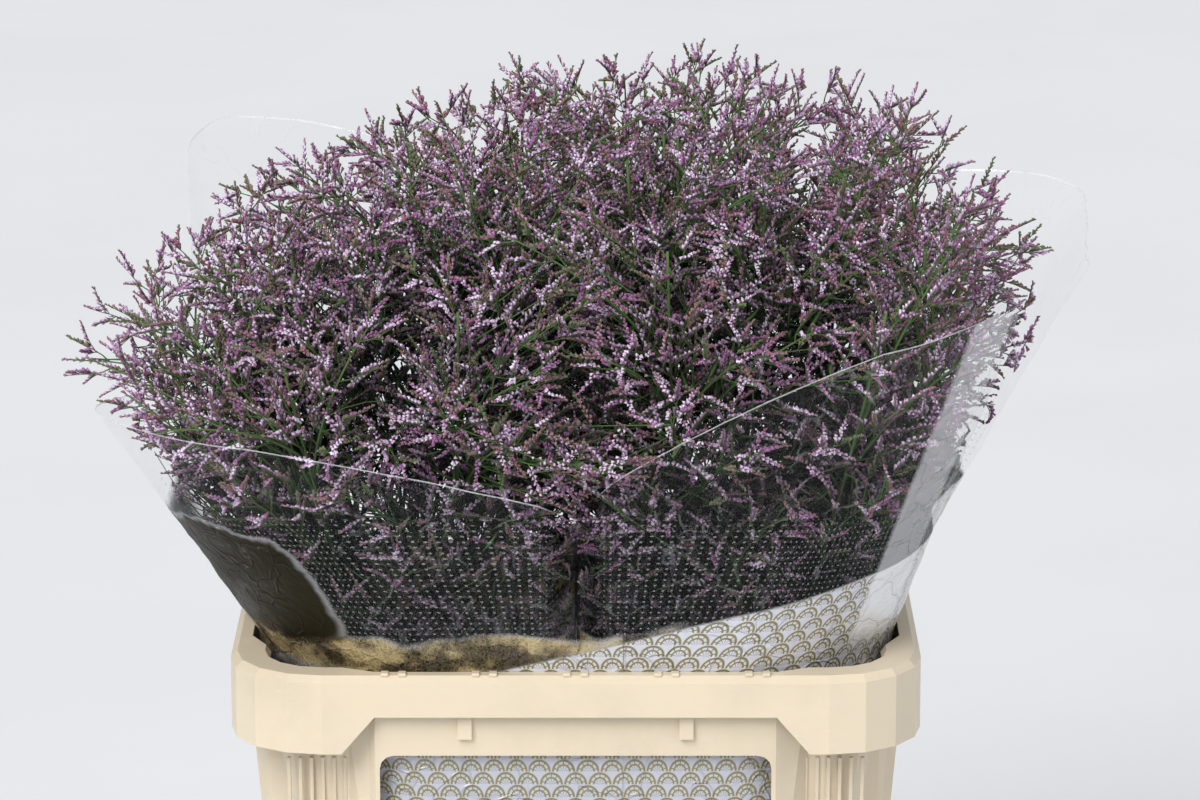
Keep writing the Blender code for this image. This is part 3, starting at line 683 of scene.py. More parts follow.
def place_branch(thicket, stems, rows, taken, target):
    """Tries the nearest stems, and on each the places whose angle and length suit a side branch."""
    if not thicket.is_clear(target[None], np.array([TIP_ROOM]), -1):
        return None
    options = []
    shortest, longest = BRANCH_LENGTHS
    least_angle, most_angle = BRANCH_ANGLES
    for number, (points, tangents) in enumerate(rows):
        way = target - points
        length = np.linalg.norm(way, axis=1)
        angle = np.degrees(np.arccos(np.clip((way * tangents).sum(1) / length, -1, 1)))
        cost = abs(length - BEST_LENGTH) / LENGTH_LEEWAY + abs(angle - BEST_ANGLE) / ANGLE_LEEWAY
        usable = (length > shortest) & (length < longest)
        usable &= (angle > least_angle) & (angle < most_angle)
        for place in np.flatnonzero(usable):
            options.append((cost[place], number, int(place)))
    options.sort()
    for _, number, place in options[:MOST_TRIES]:
        points, tangents = rows[number]
        root = points[place]
        if any(np.linalg.norm(root - other) < LEAST_ROOT_SPACING for other in taken[number]):
            continue
        controls = branch_controls(root, tangents[place], target)
        rod = branch_rod(controls)
        if fits(thicket, stems[number][0], rod, number):
            thicket.add(rod, len(stems) + sum(len(roots) for roots in taken))
            taken[number].append(root)
            return (number, rod, controls)
    return None


# The flowering stems


def settings():
    return bpy.context.scene.statice_looks


def deselect_all():
    for obj in bpy.context.selected_objects:
        obj.select_set(False)
    bpy.context.view_layer.objects.active = None


def across(vectors):
    """A unit vector at right angles to each of these."""
    aside = np.where(abs(vectors[..., 2:]) < 0.9, [[0.0, 0.0, 1.0]], [[1.0, 0.0, 0.0]])
    return unit(np.cross(vectors, aside))


def quadratic(start, middle, end, share):
    """Places and unit directions along many quadratic curves: curves by rows, shares by columns."""
    share = share[..., None]
    start, middle, end = start[:, None], middle[:, None], end[:, None]
    places = (1 - share) ** 2 * start + 2 * share * (1 - share) * middle + share**2 * end
    return places, unit((1 - share) * (middle - start) + share * (end - middle))


def set_values(mesh, **values):
    """Gives each point of a mesh its value under these names, for the materials to read."""
    for label, numbers in values.items():
        layer = mesh.attributes.new(label, "FLOAT", "POINT")
        layer.data.foreach_set("value", numbers.astype(np.float32))


def depth_inside(points):
    """Painted shade: 0 on the flower head's outline and above, rising to 1 deep in the bunch and
    near the rim.
    """
    right = points[:, 0] > 0
    fall = np.where(right, 0.0, np.minimum(1.0, -points[:, 0] / HEAD_LEFT))
    half = np.where(right, HEAD_RIGHT, HEAD_LEFT)
    high = HEAD_HIGH * (1 - HEAD_FALL * fall)
    size = np.stack([half, np.full(len(points), HEAD_DEEP), high], 1)
    share = np.abs(points - [0, 0, RIM_Z]) / size
    share[points[:, 2] < RIM_Z, 2] = 0
    out = (share**HEAD_POWER).sum(1) ** (1 / HEAD_POWER)
    low = LOW_DARK * np.clip((LOW_DARK_TOP - points[:, 2]) / LOW_DARK_RANGE, 0, 1)
    return np.clip(np.maximum((DARK_FROM - out) / DARK_RANGE, low), 0, 1)


class FineMesh:
    """Collects points, triangles and each point's values, for one mesh of many small shapes."""

    def __init__(self):
        self.points, self.faces, self.bloom, self.tint, self.kind = [], [], [], [], []
        self.count = 0

    def add(self, points, faces, bloom, tint, kind):
        self.points.append(points)
        self.faces.append(faces + self.count)
        self.bloom.append(bloom)
        self.tint.append(tint)
        self.kind.append(np.full(len(faces), kind))
        self.count += len(points)

    def object(self, name, materials):
        points, faces = np.vstack(self.points), np.vstack(self.faces)
        mesh = bpy.data.meshes.new(name)
        mesh.vertices.add(len(points))
        mesh.vertices.foreach_set("co", points.astype(np.float32).ravel())
        mesh.loops.add(faces.size)
        mesh.loops.foreach_set("vertex_index", faces.astype(np.int32).ravel())
        mesh.polygons.add(len(faces))
        starts = np.arange(0, faces.size, 3, dtype=np.int32)
        mesh.polygons.foreach_set("loop_start", starts)
        for material in materials:
            mesh.materials.append(material)
        kinds = np.concatenate(self.kind).astype(np.int32)
        mesh.polygons.foreach_set("material_index", kinds)
        bloom, tint = np.concatenate(self.bloom), np.concatenate(self.tint)
        # The painted shade value darkens the florets and stems deep in the bunch and low down
        set_values(mesh, bloom=bloom, tint=tint, depth=depth_inside(points))
        mesh.update(calc_edges=True)
        mesh.validate()
        mesh.shade_smooth()
        obj = bpy.data.objects.new(name, mesh)
        bpy.context.scene.collection.objects.link(obj)
        return obj


def tube_faces(rings, sides):
    """The triangles of a tube's wall, ring by ring."""
    faces = []
    for low in range(0, (rings - 1) * sides, sides):
        high = low + sides
        for corner in range(sides):
            after = (corner + 1) % sides
            faces.append((low + corner, low + after, high + after))
            faces.append((low + corner, high + after, high + corner))
    return faces


def repeated(faces, points, count):
    """The same triangles for each of many shapes, which have this many points each."""
    return (np.array(faces)[None] + points * np.arange(count)[:, None, None]).reshape(-1, 3)


def add_tube(fine, points, radii, sides, tint):
    """A round tube through these points, closed at both ends by its narrowing to them."""
    ways = unit(np.gradient(points, axis=0))
    side = across(ways[:1])[0]
    rings = []
    angles = 2 * math.pi * np.arange(sides) / sides
    for point, way, radius in zip(points, ways, radii):
        side = unit(side - way * (side @ way))
        other = np.cross(way, side)
        ring = np.outer(np.cos(angles), side) + np.outer(np.sin(angles), other)
        rings.append(point + ring * radius)
    count = len(points)
    verts = np.vstack(rings + [points[:1], points[-1:]])
    faces = tube_faces(count, sides)
    top, first, last = (count - 1) * sides, count * sides, count * sides + 1
    for number in range(sides):
        after = (number + 1) % sides
        faces.append((first, after, number))
        faces.append((last, top + number, top + after))
    bloom = np.append(np.repeat(np.linspace(0, 1, count), sides), [0, 1])
    fine.add(verts, np.array(faces), bloom, np.full(len(verts), tint), STEM)


def add_twigs(fine, start, middle, end, radius, tint, rings=4):
    """Many fine three-sided tubes at once, each along a quadratic curve."""
    shares = np.linspace(0, 1, rings)
    points, ways = quadratic(start, middle, end, shares[None].repeat(len(start), 0))
    side = across(ways)
    other = np.cross(ways, side)
    thin = radius * (1 - TWIG_THINS * shares)[None, :, None, None]
    angles = 2 * math.pi * np.arange(3) / 3
    ring = (
        np.cos(angles)[None, None, :, None] * side[:, :, None]
        + np.sin(angles)[None, None, :, None] * other[:, :, None]
    )
    verts = (points[:, :, None] + ring * thin).reshape(-1, 3)
    faces = repeated(tube_faces(rings, 3), 3 * rings, len(start))
    bloom = np.tile(np.repeat(shares, 3), len(start))
    fine.add(verts, faces, bloom, np.repeat(tint, 3 * rings), STEM)


def add_leaves(fine, start, middle, end, wide, tint):
    """Many narrow dried leaves at once, each a slim closed blade that is widest at its middle."""
    way = unit(end - start)
    side = across(way)
    other = np.cross(way, side)
    wide = np.asarray(wide)[:, None]
    right = middle + side * wide
    left = middle - side * wide + other * wide * 0.25
    under = middle - other * wide * 0.45
    verts = np.stack([start, right, left, under, end], axis=1).reshape(-1, 3)
    faces = repeated(LEAF_FACES, len(LEAF_BLOOM), len(start))
    bloom = np.tile(LEAF_BLOOM, len(start))
    fine.add(verts, faces, bloom, np.repeat(tint, len(LEAF_BLOOM)), STEM)


def add_florets(fine, start, middle, end, outward, tint, draw):
    """The florets of many spikes at once: two close rows of small funnels along each."""
    spikes = len(start)
    shares = np.linspace(FLORETS_FROM, 1.0, FLORETS)[None].repeat(spikes, 0)
    shares = np.clip(shares + draw.normal(0, 0.012, shares.shape), FLORETS_FROM / 2, 1)
    places, ways = quadratic(start, middle, end, shares)
    side = unit(outward[:, None] - ways * (outward[:, None] * ways).sum(-1, keepdims=True))
    other = np.cross(ways, side)
    rows = np.where(np.arange(FLORETS) % 2, 1.0, -1.0)[None] * ROW_ANGLE
    rows = rows + draw.normal(0, 0.18, shares.shape)
    lift = FLORET_LIFT - LIFT_LESS * shares + draw.normal(0, 0.10, shares.shape)
    aside = side * np.cos(rows)[..., None] + other * np.sin(rows)[..., None]
    way = unit(ways + aside * np.tan(np.clip(lift, *LIFT_LIMITS))[..., None])
    length = FLORET_LENGTH * (1.1 - FLORET_SHORTENS * shares)
    length = length * draw.uniform(0.8, 1.15, shares.shape)
    radius = FLORET_R * (1.1 - FLORET_NARROWS * shares)
    radius = radius * draw.uniform(0.8, 1.2, shares.shape)
    ring_side = across(way.reshape(-1, 3)).reshape(way.shape)
    ring_other = np.cross(way, ring_side)
    turn = draw.uniform(0, 2.0, shares.shape)
    corners = [places]
    for number, far in enumerate(MOUTH_CORNERS):
        angle = (turn + number * 2 * math.pi / 3)[..., None]
        out = ring_side * np.cos(angle) + ring_other * np.sin(angle)
        corners.append(places + way * (length * far)[..., None] + out * radius[..., None])
    verts = np.stack(corners, axis=2).reshape(-1, 3)
    faces = repeated(FLORET_FACES, 4, spikes * FLORETS)
    is_young = draw.uniform(size=spikes) < YOUNG_SHARE
    opened = np.where(is_young, draw.uniform(*YOUNG_BLOOM, spikes), 1.0)
    young = 1 - YOUNG_TIP * np.clip((shares - YOUNG_FROM) / YOUNG_RANGE, 0, 1)
    bloom = (opened[:, None] * young).reshape(-1, 1) * np.array(FLORET_BLOOM)
    flower_tint = np.repeat(tint, FLORETS) + draw.normal(0, 0.10, spikes * FLORETS)
    fine.add(verts, faces, bloom.ravel(), np.repeat(flower_tint, 4), FLORET)


def bent(place, lean, then, reach):
    """The middle and the end of a twig that leaves this place one way and then bends another."""
    middle = place + unit(lean) * reach * 0.5
    return middle, middle + unit(then) * reach * 0.5


def add_plume(twigs, spikes, controls, draw):
    """The branchlets along a branch's last stretch, and the spikes that they carry."""
    length = curve_length(controls)
    first = 1 - min(PLUME_LENGTH, PLUME_SHARE * length) / length
    steps = settings().branchlets
    turn = draw.uniform(0, 2 * math.pi)
    shares = first + (1 - first) * np.linspace(0.0, 0.90, steps)
    for number, (place, way) in enumerate(zip(*along_curve(controls, shares))):
        aside = across(way[None])[0]
        other = np.cross(way, aside)
        angle = turn + number * GOLDEN_TURN + draw.normal(0, 0.2)
        out = aside * math.cos(angle) + other * math.sin(angle)
        far = number / steps
        reach = (1 - 0.62 * far) * PLUME_SPREAD * draw.uniform(0.8, 1.15)
        then = way * 0.95 + out * (0.62 - 0.4 * far)
        middle, end = bent(place, way * 0.66 + out * 0.82, then, reach)
        twigs.append((place, middle, end))
        add_spikes(spikes, place, middle, end, way, out, 1 - 0.35 * far, draw)
    tip = bezier(controls, [0.90, 0.97])
    ahead = unit(tip[1] - tip[0])
    spikes.append((tip[0], tip.mean(0), tip[1] + ahead * 0.004, across(ahead[None])[0]))


def add_low_twigs(twigs, spikes, controls, draw):
    """Longer side twigs up the whole of a main stem, which fill the bunch's inside."""
    turn = draw.uniform(0, 2 * math.pi)
    places, ways = along_curve(controls, np.linspace(*LOW_TWIGS))
    for number, (place, way) in enumerate(zip(places, ways)):
        angle = turn + number * GOLDEN_TURN
        out = np.array([math.cos(angle), math.sin(angle), 0.0])
        reach = draw.uniform(*LOW_TWIG_REACH)
        middle, end = bent(place, way * 0.8 + out * 0.6, way * 0.7 + out * 0.7, reach)
        twigs.append((place, middle, end))
        for scale in (1.1, 1.0):
            add_spikes(spikes, place, middle, end, way, out, scale, draw)


def add_bare_twigs(twigs, controls, draw):
    """Green twigs without florets, which fill the shade between the stems."""
    places, ways = along_curve(controls, draw.uniform(*BARE_FROM_TO, BARE_TWIGS))
    outs = unit(draw.normal(0, 1, (BARE_TWIGS, 3)) + [0, 0, 0.5])
    for place, way, out in zip(places, ways, outs):
        middle, end = bent(place, way + out * 0.7, way * 0.6 + out, draw.uniform(*BARE_REACH))
        if head_share(end) < BARE_WITHIN:
            twigs.append((place, middle, end))


def add_inner_leaves(leaves, controls, draw):
    """Dried leaves along a stem or branch, only inside the bunch, where they shut out the light."""
    places, ways = along_curve(controls, draw.uniform(*LEAVES_FROM_TO, INNER_LEAVES))
    outs = unit(draw.normal(0, 1, (INNER_LEAVES, 3)))
    for place, way, out in zip(places, ways, outs):
        end = place + unit(way * 0.5 + out) * draw.uniform(*LEAF_LENGTH)
        if head_share(end) < LEAVES_WITHIN:
            leaves.append((place, (place + end) / 2 + out * 0.002, end))


def near_middle(places, near, low, high):
    """Those of the places that lie near the wall between left and right, between two heights."""
    return places[(abs(places[:, 0]) < near) & (places[:, 2] > low) & (places[:, 2] < high)]


def add_seam_twigs(twigs, spikes, controls, draw):
    """Low twigs that lean against the inner walls, or lie over their edges, where bunches meet."""
    places = bezier(controls, np.linspace(0.10, 0.95, SEAM_PLACES))
    for place in near_middle(places, SEAM_NEAR, *SEAM_FROM_TO):
        over = place[2] > INNER_EDGE + SEAM_OVER
        way = unit(np.array([0.0, draw.uniform(-0.5, 0.5), 0.05 if over else 1.0]))
        out = unit(np.array([-np.sign(place[0]), draw.uniform(-0.7, 0.7), -0.22 if over else 0.2]))
        reach = abs(place[0]) + draw.uniform(-0.004, 0.018 if over else 0.010)
        middle, end = bent(place, way * 0.5 + out, way * 0.6 + out, reach)
        twigs.append((place, middle, end))
        add_spikes(spikes, place, middle, end, way, out, 0.9, draw)


def add_crossing_twigs(twigs, spikes, controls, draw):
    """Twigs that reach over the inner walls' edges, so that no gap stays between the bunches."""
    places = bezier(controls, np.linspace(*CROSSING_TWIGS))
    for place in near_middle(places, CROSSING_NEAR, INNER_EDGE, CROSSING_TOP):
        way = unit(np.array([0.0, draw.uniform(-0.3, 0.3), 1.0]))
        out = unit(np.array([-np.sign(place[0]), draw.uniform(-0.6, 0.6), 0.25]))
        reach = abs(place[0]) + draw.uniform(*CROSSING_REACH)
        middle, end = bent(place, way * 0.4 + out, way * 0.5 + out, reach)
        twigs.append((place, middle, end))
        add_spikes(spikes, place, middle, end, way, out, 1.1, draw)
        steep = end + unit(way + out * 0.3) * reach * 0.6
        level = end + unit(way * 0.3 + out) * reach * 0.4
        for start, tip in ((place, steep), (middle, level)):
            if head_share(tip) < BARE_WITHIN:
                twigs.append((start, end, tip))


def add_spikes(spikes, place, middle, end, way, out, scale, draw):
    """The one-sided spikes of one branchlet: one to each side, and one that ends it."""
    binormal = unit(np.cross(way, out))
    hand = draw.choice([-1, 1])
    upward = np.array([0, 0, 0.5])
    size = settings().spike_length * scale
    for number, share in enumerate((0.38, 0.68)):
        root = bezier((place, middle, end), [share + draw.normal(0, 0.05)])[0]
        side = binormal * hand * (-1) ** number
        lean = unit(way * 0.70 + out * 0.40 + side * draw.uniform(0.55, 0.95))
        bend = unit(way * 0.45 + out * 0.55 + side * 0.75 + upward * 0.3)
        long = size * draw.uniform(0.75, 1.15)
        halfway = root + lean * long * 0.5
        spikes.append((root, halfway, halfway + bend * long * 0.5, unit(side * 0.5 + way + upward)))
    ahead = unit(end - middle)
    tip = end + unit(ahead + out * 0.25) * size * draw.uniform(0.40, 0.65)
    start = bezier((place, middle, end), [0.66])[0]
    spikes.append((start, end, tip, unit(way * 0.6 + out * 0.3 + upward)))


def kept_inside(quarter, points, room):
    """Points moved to at least this room inside the film, wherever they lie below its edge."""
    points = points.copy()
    signs = np.where(points[:, :2] > 0, 1, -1)
    signs[points[:, 2] < INNER_EDGE + room] = quarter
    for other in SLEEVE_EDGES:
        mine = (signs == other).all(1)
        if not mine.any():
            continue
        place = points[mine, :2] * other
        section = sleeve_section(other, points[mine, 2])
        below = points[mine, 2] < edge_near(other, section, *place.T) + room
        low = np.stack([section[0], section[2]], 1) + WALL_ROOM
        # Over the inner walls' edges the stems may lean into the next quarter
        low[points[mine, 2] > INNER_EDGE + room] = -1.0
        place[below] = moved_inside(section, place, low, room)[below]
        points[mine, :2] = place * other
    low, high = (np.array(corner) for corner in CAD_BOX)
    return np.clip(points, low - BOX_MARGIN, high + BOX_MARGIN)


def spray_object(number, stem, branches, materials):
    """One flowering stem: its tubes, its branchlets, its spikes and their florets, in one mesh."""
    quarter, _, controls = stem
    draw = np.random.default_rng(settings().seed * 100 + number)
    fine = FineMesh()
    twigs, spikes, leaves = [], [], []

    def kept(rows):
        """The starts, middles and ends of these curves, moved inside the film."""
        room = FILM_GAP + FLORET_LENGTH
        return [kept_inside(quarter, np.array(places), room) for places in zip(*rows)]

    add_tube(fine, *stem_tube(stem), STEM_SIDES, draw.uniform(*TUBE_TINT))
    add_plume(twigs, spikes, controls, draw)
    add_low_twigs(twigs, spikes, controls, draw)
    add_crossing_twigs(twigs, spikes, controls, draw)
    add_bare_twigs(twigs, controls, draw)
    add_inner_leaves(leaves, controls, draw)
    add_seam_twigs(twigs, spikes, controls, draw)
    shares = np.linspace(0, TUBE_END, BRANCH_RINGS)
    thin = BRANCH_R * (1.0 - BRANCH_THINS * shares)
    for _, _, branch in branches:
        add_bare_twigs(twigs, branch, draw)
        add_inner_leaves(leaves, branch, draw)
        add_seam_twigs(twigs, spikes, branch, draw)
        add_tube(fine, bezier(branch, shares), thin, BRANCH_SIDES, draw.uniform(*TUBE_TINT))
        add_plume(twigs, spikes, branch, draw)
    add_twigs(fine, *kept(twigs), TWIG_R, draw.uniform(*TWIG_TINT, len(twigs)))
    if leaves:
        wide = draw.uniform(*LEAF_HALF, len(leaves))
        add_leaves(fine, *kept(leaves), wide, draw.uniform(*LEAF_TINT, len(leaves)))
    curves = kept(spike[:3] for spike in spikes)
    outward = unit(np.array([spike[3] for spike in spikes]))
    tint = draw.normal(*SPIKE_TINT, len(spikes))
    add_twigs(fine, *curves, SPIKE_STALK_R, tint, rings=3)
    add_florets(fine, *curves, outward, tint, draw)
    return fine.object(f"statice_{QUARTER_NAMES[quarter]}_{number % len(STEM_TIPS) + 1}", materials)


def stem_tube(stem):
    """A main stem's smooth line with its radius, from its foot through its tie to its tip."""
    _, rod, controls = stem
    smooth = bezier(controls, np.linspace(0, TUBE_END, STEM_RINGS))
    places = np.vstack([rod[0][:1], rod[0][:1] * 0.5 + smooth[:1] * 0.5, smooth])
    narrowing = STEM_R + (STEM_TIP_R - STEM_R) * np.linspace(0, 1, STEM_RINGS)
    return places, np.concatenate([[STEM_R, STEM_R], narrowing])


class STATICE_OT_sprays(bpy.types.Operator):
    """Grow every flowering stem again and dress it with its florets"""

    bl_idname = "statice.sprays"
    bl_label = "Flowering stems"

    def execute(self, context):
        looks = context.scene.statice_looks
        materials = [stem_material(), floret_material()]
        draw = random.Random(looks.seed)
        thicket = Thicket()
        stems = grow_stems(draw, thicket)
        branches = grow_branches(draw, thicket, stems)
        for number, stem in enumerate(stems):
            own = [branch for branch in branches if branch[0] == number]
            obj = spray_object(number, stem, own, materials)
            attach(obj, "root")
            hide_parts(obj.name.replace("statice_", "spray_"))
        return {"FINISHED"}


# The sleeves


def column_shares():
    """How far round the sleeve each column of the film's grid lies, closest at the corners."""
    shares = []
    for corner, steps in enumerate(CORNER_COLUMNS):
        arc = np.linspace(corner - CORNER_SPAN / 2, corner + CORNER_SPAN / 2, steps)
        side = np.linspace(corner + CORNER_SPAN / 2, corner + 1 - CORNER_SPAN / 2, SIDE_COLUMNS + 2)
        shares += [arc, side[1:-1]]
    shares = np.concatenate(shares)
    return np.append(shares, shares[0] + 4)


def film_place(quarter, shares, heights):
    """(x, y, outward x, outward y) on a sleeve, in its own quarter, at these shares and heights."""
    low_x, high_x, low_y, high_y, outer = sleeve_section(quarter, heights)
    small = small_corner((low_x, high_x, low_y, high_y, outer))
    corner = np.floor(shares + CORNER_SPAN / 2).astype(int)
    within = shares - corner

    def arc_end(number, turned):
        number = number % 4
        radius = np.where(number == 2, outer, small)
        x = np.where((number == 0) | (number == 3), low_x + radius, high_x - radius)
        y = np.where((number == 0) | (number == 1), low_y + radius, high_y - radius)
        angle = (2 + number + turned) * math.pi / 2
        return x + radius * np.cos(angle), y + radius * np.sin(angle), angle

    turned = np.clip(within / CORNER_SPAN + 0.5, 0, 1)
    x, y, angle = arc_end(corner, turned)
    next_x, next_y, _ = arc_end(corner + 1, 0.0)
    along = np.clip((within - CORNER_SPAN / 2) / (1 - CORNER_SPAN), 0, 1)
    return x + (next_x - x) * along, y + (next_y - y) * along, np.cos(angle), np.sin(angle)


def crumples(u, v, seed):
    """A creased height from -1 to 1 at each place of the film, sharp along its ridges."""
    heights = np.empty(len(u))
    broad_u, broad_v, broad_share = BROAD_CREASES
    fold_u, fold_v, fold_share = FOLD_CREASES
    fine_u, fine_v, fine_share = FINE_CREASES
    for number, (x, y) in enumerate(zip(u, v)):
        broad = noise.noise(Vector((x * broad_u, y * broad_v, seed)))
        fold = 1 - 2.6 * abs(noise.noise(Vector((x * fold_u + broad, y * fold_v, seed + 7.3))))
        fine = 1 - 2.2 * abs(noise.noise(Vector((x * fine_u, y * fine_v + broad, seed + 3.1))))
        heights[number] = broad_share * broad + fold_share * fold + fine_share * fine
    return np.clip(heights, -1, 1)


def above_rim(heights):
    """0 up to just over the rim, rising to 1 further up."""
    return np.clip((heights - RIM_Z - CRUMPLE_FROM) / CRUMPLE_RISE, 0, 1)


def crumple_room(shares, heights):
    """How far the film may stand in and out from its solid, by height and by side."""
    crumple = bpy.context.scene.statice_film.crumple
    above = above_rim(heights)
    inside = np.clip((heights - INWARD_FROM) / INWARD_RISE, 0, 1)
    inward = crumple * (INWARD_LOW + (1 - INWARD_LOW) * above) * inside
    outward = crumple * above
    inner_wall = (shares % 4 < 1 - CORNER_SPAN / 2) | (shares % 4 > 3 + CORNER_SPAN / 2)
    near_wall = np.where(inner_wall & (heights < INNER_EDGE + 0.03), WALL_CRUMPLE, 1.0)
    return np.minimum(inward, near_wall), np.minimum(outward, near_wall)


def film_sheet(name, columns, rows, material):
    """A flat grid from -1 to 1, its points' places on it, and the column and row of each."""
    bpy.ops.mesh.primitive_grid_add(x_subdivisions=columns - 1, y_subdivisions=rows - 1, size=2)
    sheet = bpy.context.active_object
    sheet.name = sheet.data.name = name
    sheet.data.materials.append(material)
    grid = np.array([vert.co[:2] for vert in sheet.data.vertices])
    column, row = np.rint((grid + 1) / 2 * (columns - 1, rows - 1)).astype(int).T
    return sheet, grid, column, row


def shape_sheet(sheet, places, across_film, heights, **values):
    """Moves a sheet's points to their places and gives them their place on the film."""
    sheet.data.vertices.foreach_set("co", places.astype(np.float32).ravel())
    layer = sheet.data.uv_layers.active.data
    for loop in sheet.data.loops:
        layer[loop.index].uv = across_film[loop.vertex_index], heights[loop.vertex_index]
    set_values(sheet.data, **values)


def sleeve_object(quarter, number, material):
    """One sleeve as a single crumpled sheet, cut along its slanting top edge."""
    shares = column_shares()
    columns = len(shares)
    below = len(FILM_ROWS) - 1
    name = "film_" + QUARTER_NAMES[quarter]
    film, _, column, row = film_sheet(name, columns, below + 1 + TOP_ROWS, material)
    tops = edge_heights(quarter, shares % 4)
    top_share = np.clip((row - below) / TOP_ROWS, 0, 1)
    low = np.array(FILM_ROWS)[np.minimum(row, below)]
    heights = low + (tops[column] - FILM_ROWS[-1]) * top_share
    x, y, out_x, out_y = film_place(quarter, shares[column], heights)
    rim_x, rim_y, _, _ = film_place(quarter, shares, np.full(columns, RIM_Z))
    steps = np.hypot(np.diff(rim_x), np.diff(rim_y))
    # The print is measured from the join of the two front sleeves, so that it carries on over it
    join = np.argmax(shares > 3 - CORNER_SPAN / 2) - 1
    around = np.concatenate([[0.0], np.cumsum(steps)])
    around = (around - around[join] - rim_x[join])[column]
    inward, outward = crumple_room(shares[column], heights)
    turn = 2 * math.pi * shares[column] / 4
    loop_r = steps.sum() / (2 * math.pi)
    crease = crumples(np.cos(turn) * loop_r, heights + np.sin(turn) * loop_r, 11.7 * number)
    push = crease * np.where(crease > 0, outward, inward) - FILM / 2
    outer = (x >= INNER_WALL) & (y >= INNER_WALL)
    x, y = x + out_x * push, y + out_y * push
    places = np.stack([quarter[0] * x, quarter[1] * y, heights], 1)
    shape_sheet(film, places, around, heights, to_edge=tops[column] - heights, outer_wall=outer)
    tidy_sheet(film, quarter)
    return film


def tidy_sheet(film, quarter):
    """Closes the sheet's seam, turns its faces outwards and smooths it."""
    bpy.ops.object.mode_set(mode="EDIT")
    bpy.ops.mesh.select_all(action="SELECT")
    bpy.ops.mesh.remove_doubles(threshold=0.00005)
    if quarter[0] * quarter[1] < 0:
        bpy.ops.mesh.flip_normals()
    bpy.ops.object.mode_set(mode="OBJECT")
    bpy.ops.object.shade_smooth()


def lap_object(name, quarters, along, material):
    """A strip of film over the join of two sleeves, so that they read as one sheet."""
    heights = np.linspace(LAP_FOOT, lap_top(quarters, along), LAP_ROWS)
    lap, grid, _, row = film_sheet(name, LAP_COLUMNS, LAP_ROWS, material)
    aside = grid[:, 0] * LAP_HALF
    z = heights[row]
    out = [sleeve_section(quarter, z)[1 + 2 * (1 - along)] for quarter in quarters]
    out = out[0] + (out[1] - out[0]) * (grid[:, 0] + 1) / 2
    crumple = LAP_CRUMPLE * bpy.context.scene.statice_film.crumple
    out = out + LAP_OUT + crumple * above_rim(z)
    places = np.empty((len(z), 3))
    places[:, along] = aside
    places[:, 1 - along] = quarters[0][1 - along] * out
    places[:, 2] = z
    shape_sheet(lap, places, -abs(aside), z, to_edge=heights[-1] - z, outer_wall=np.zeros(len(z)))
    if (quarters[0][1 - along] > 0) == (along == 0):
        lap.data.flip_normals()
    bpy.ops.object.shade_smooth()
    return lap


def lap_top(quarters, along):
    """The lower of two sleeves' edges where they meet, so that the strip ends just under both."""
    edge = 2 if along == 0 else 0
    return min(SLEEVE_EDGES[quarter][edge] for quarter in quarters) - LAP_BELOW_EDGE


class STATICE_OT_sleeves(bpy.types.Operator):
    """Make the four crumpled clear sleeves with their print and perforations"""

    bl_idname = "statice.sleeves"
    bl_label = "Sleeves"

    def execute(self, context):
        films = {}
        for number, quarter in enumerate(SLEEVE_EDGES):
            deselect_all()
            films[quarter] = film_material(quarter)
            film = sleeve_object(quarter, number, films[quarter])
            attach(film, "root")
            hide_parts("sleeve_" + QUARTER_NAMES[quarter])
        for name, quarters, along in LAPS:
            deselect_all()
            lap = lap_object(name, quarters, along, films[quarters[1]])
            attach(lap, "root")
        return {"FINISHED"}


# Materials


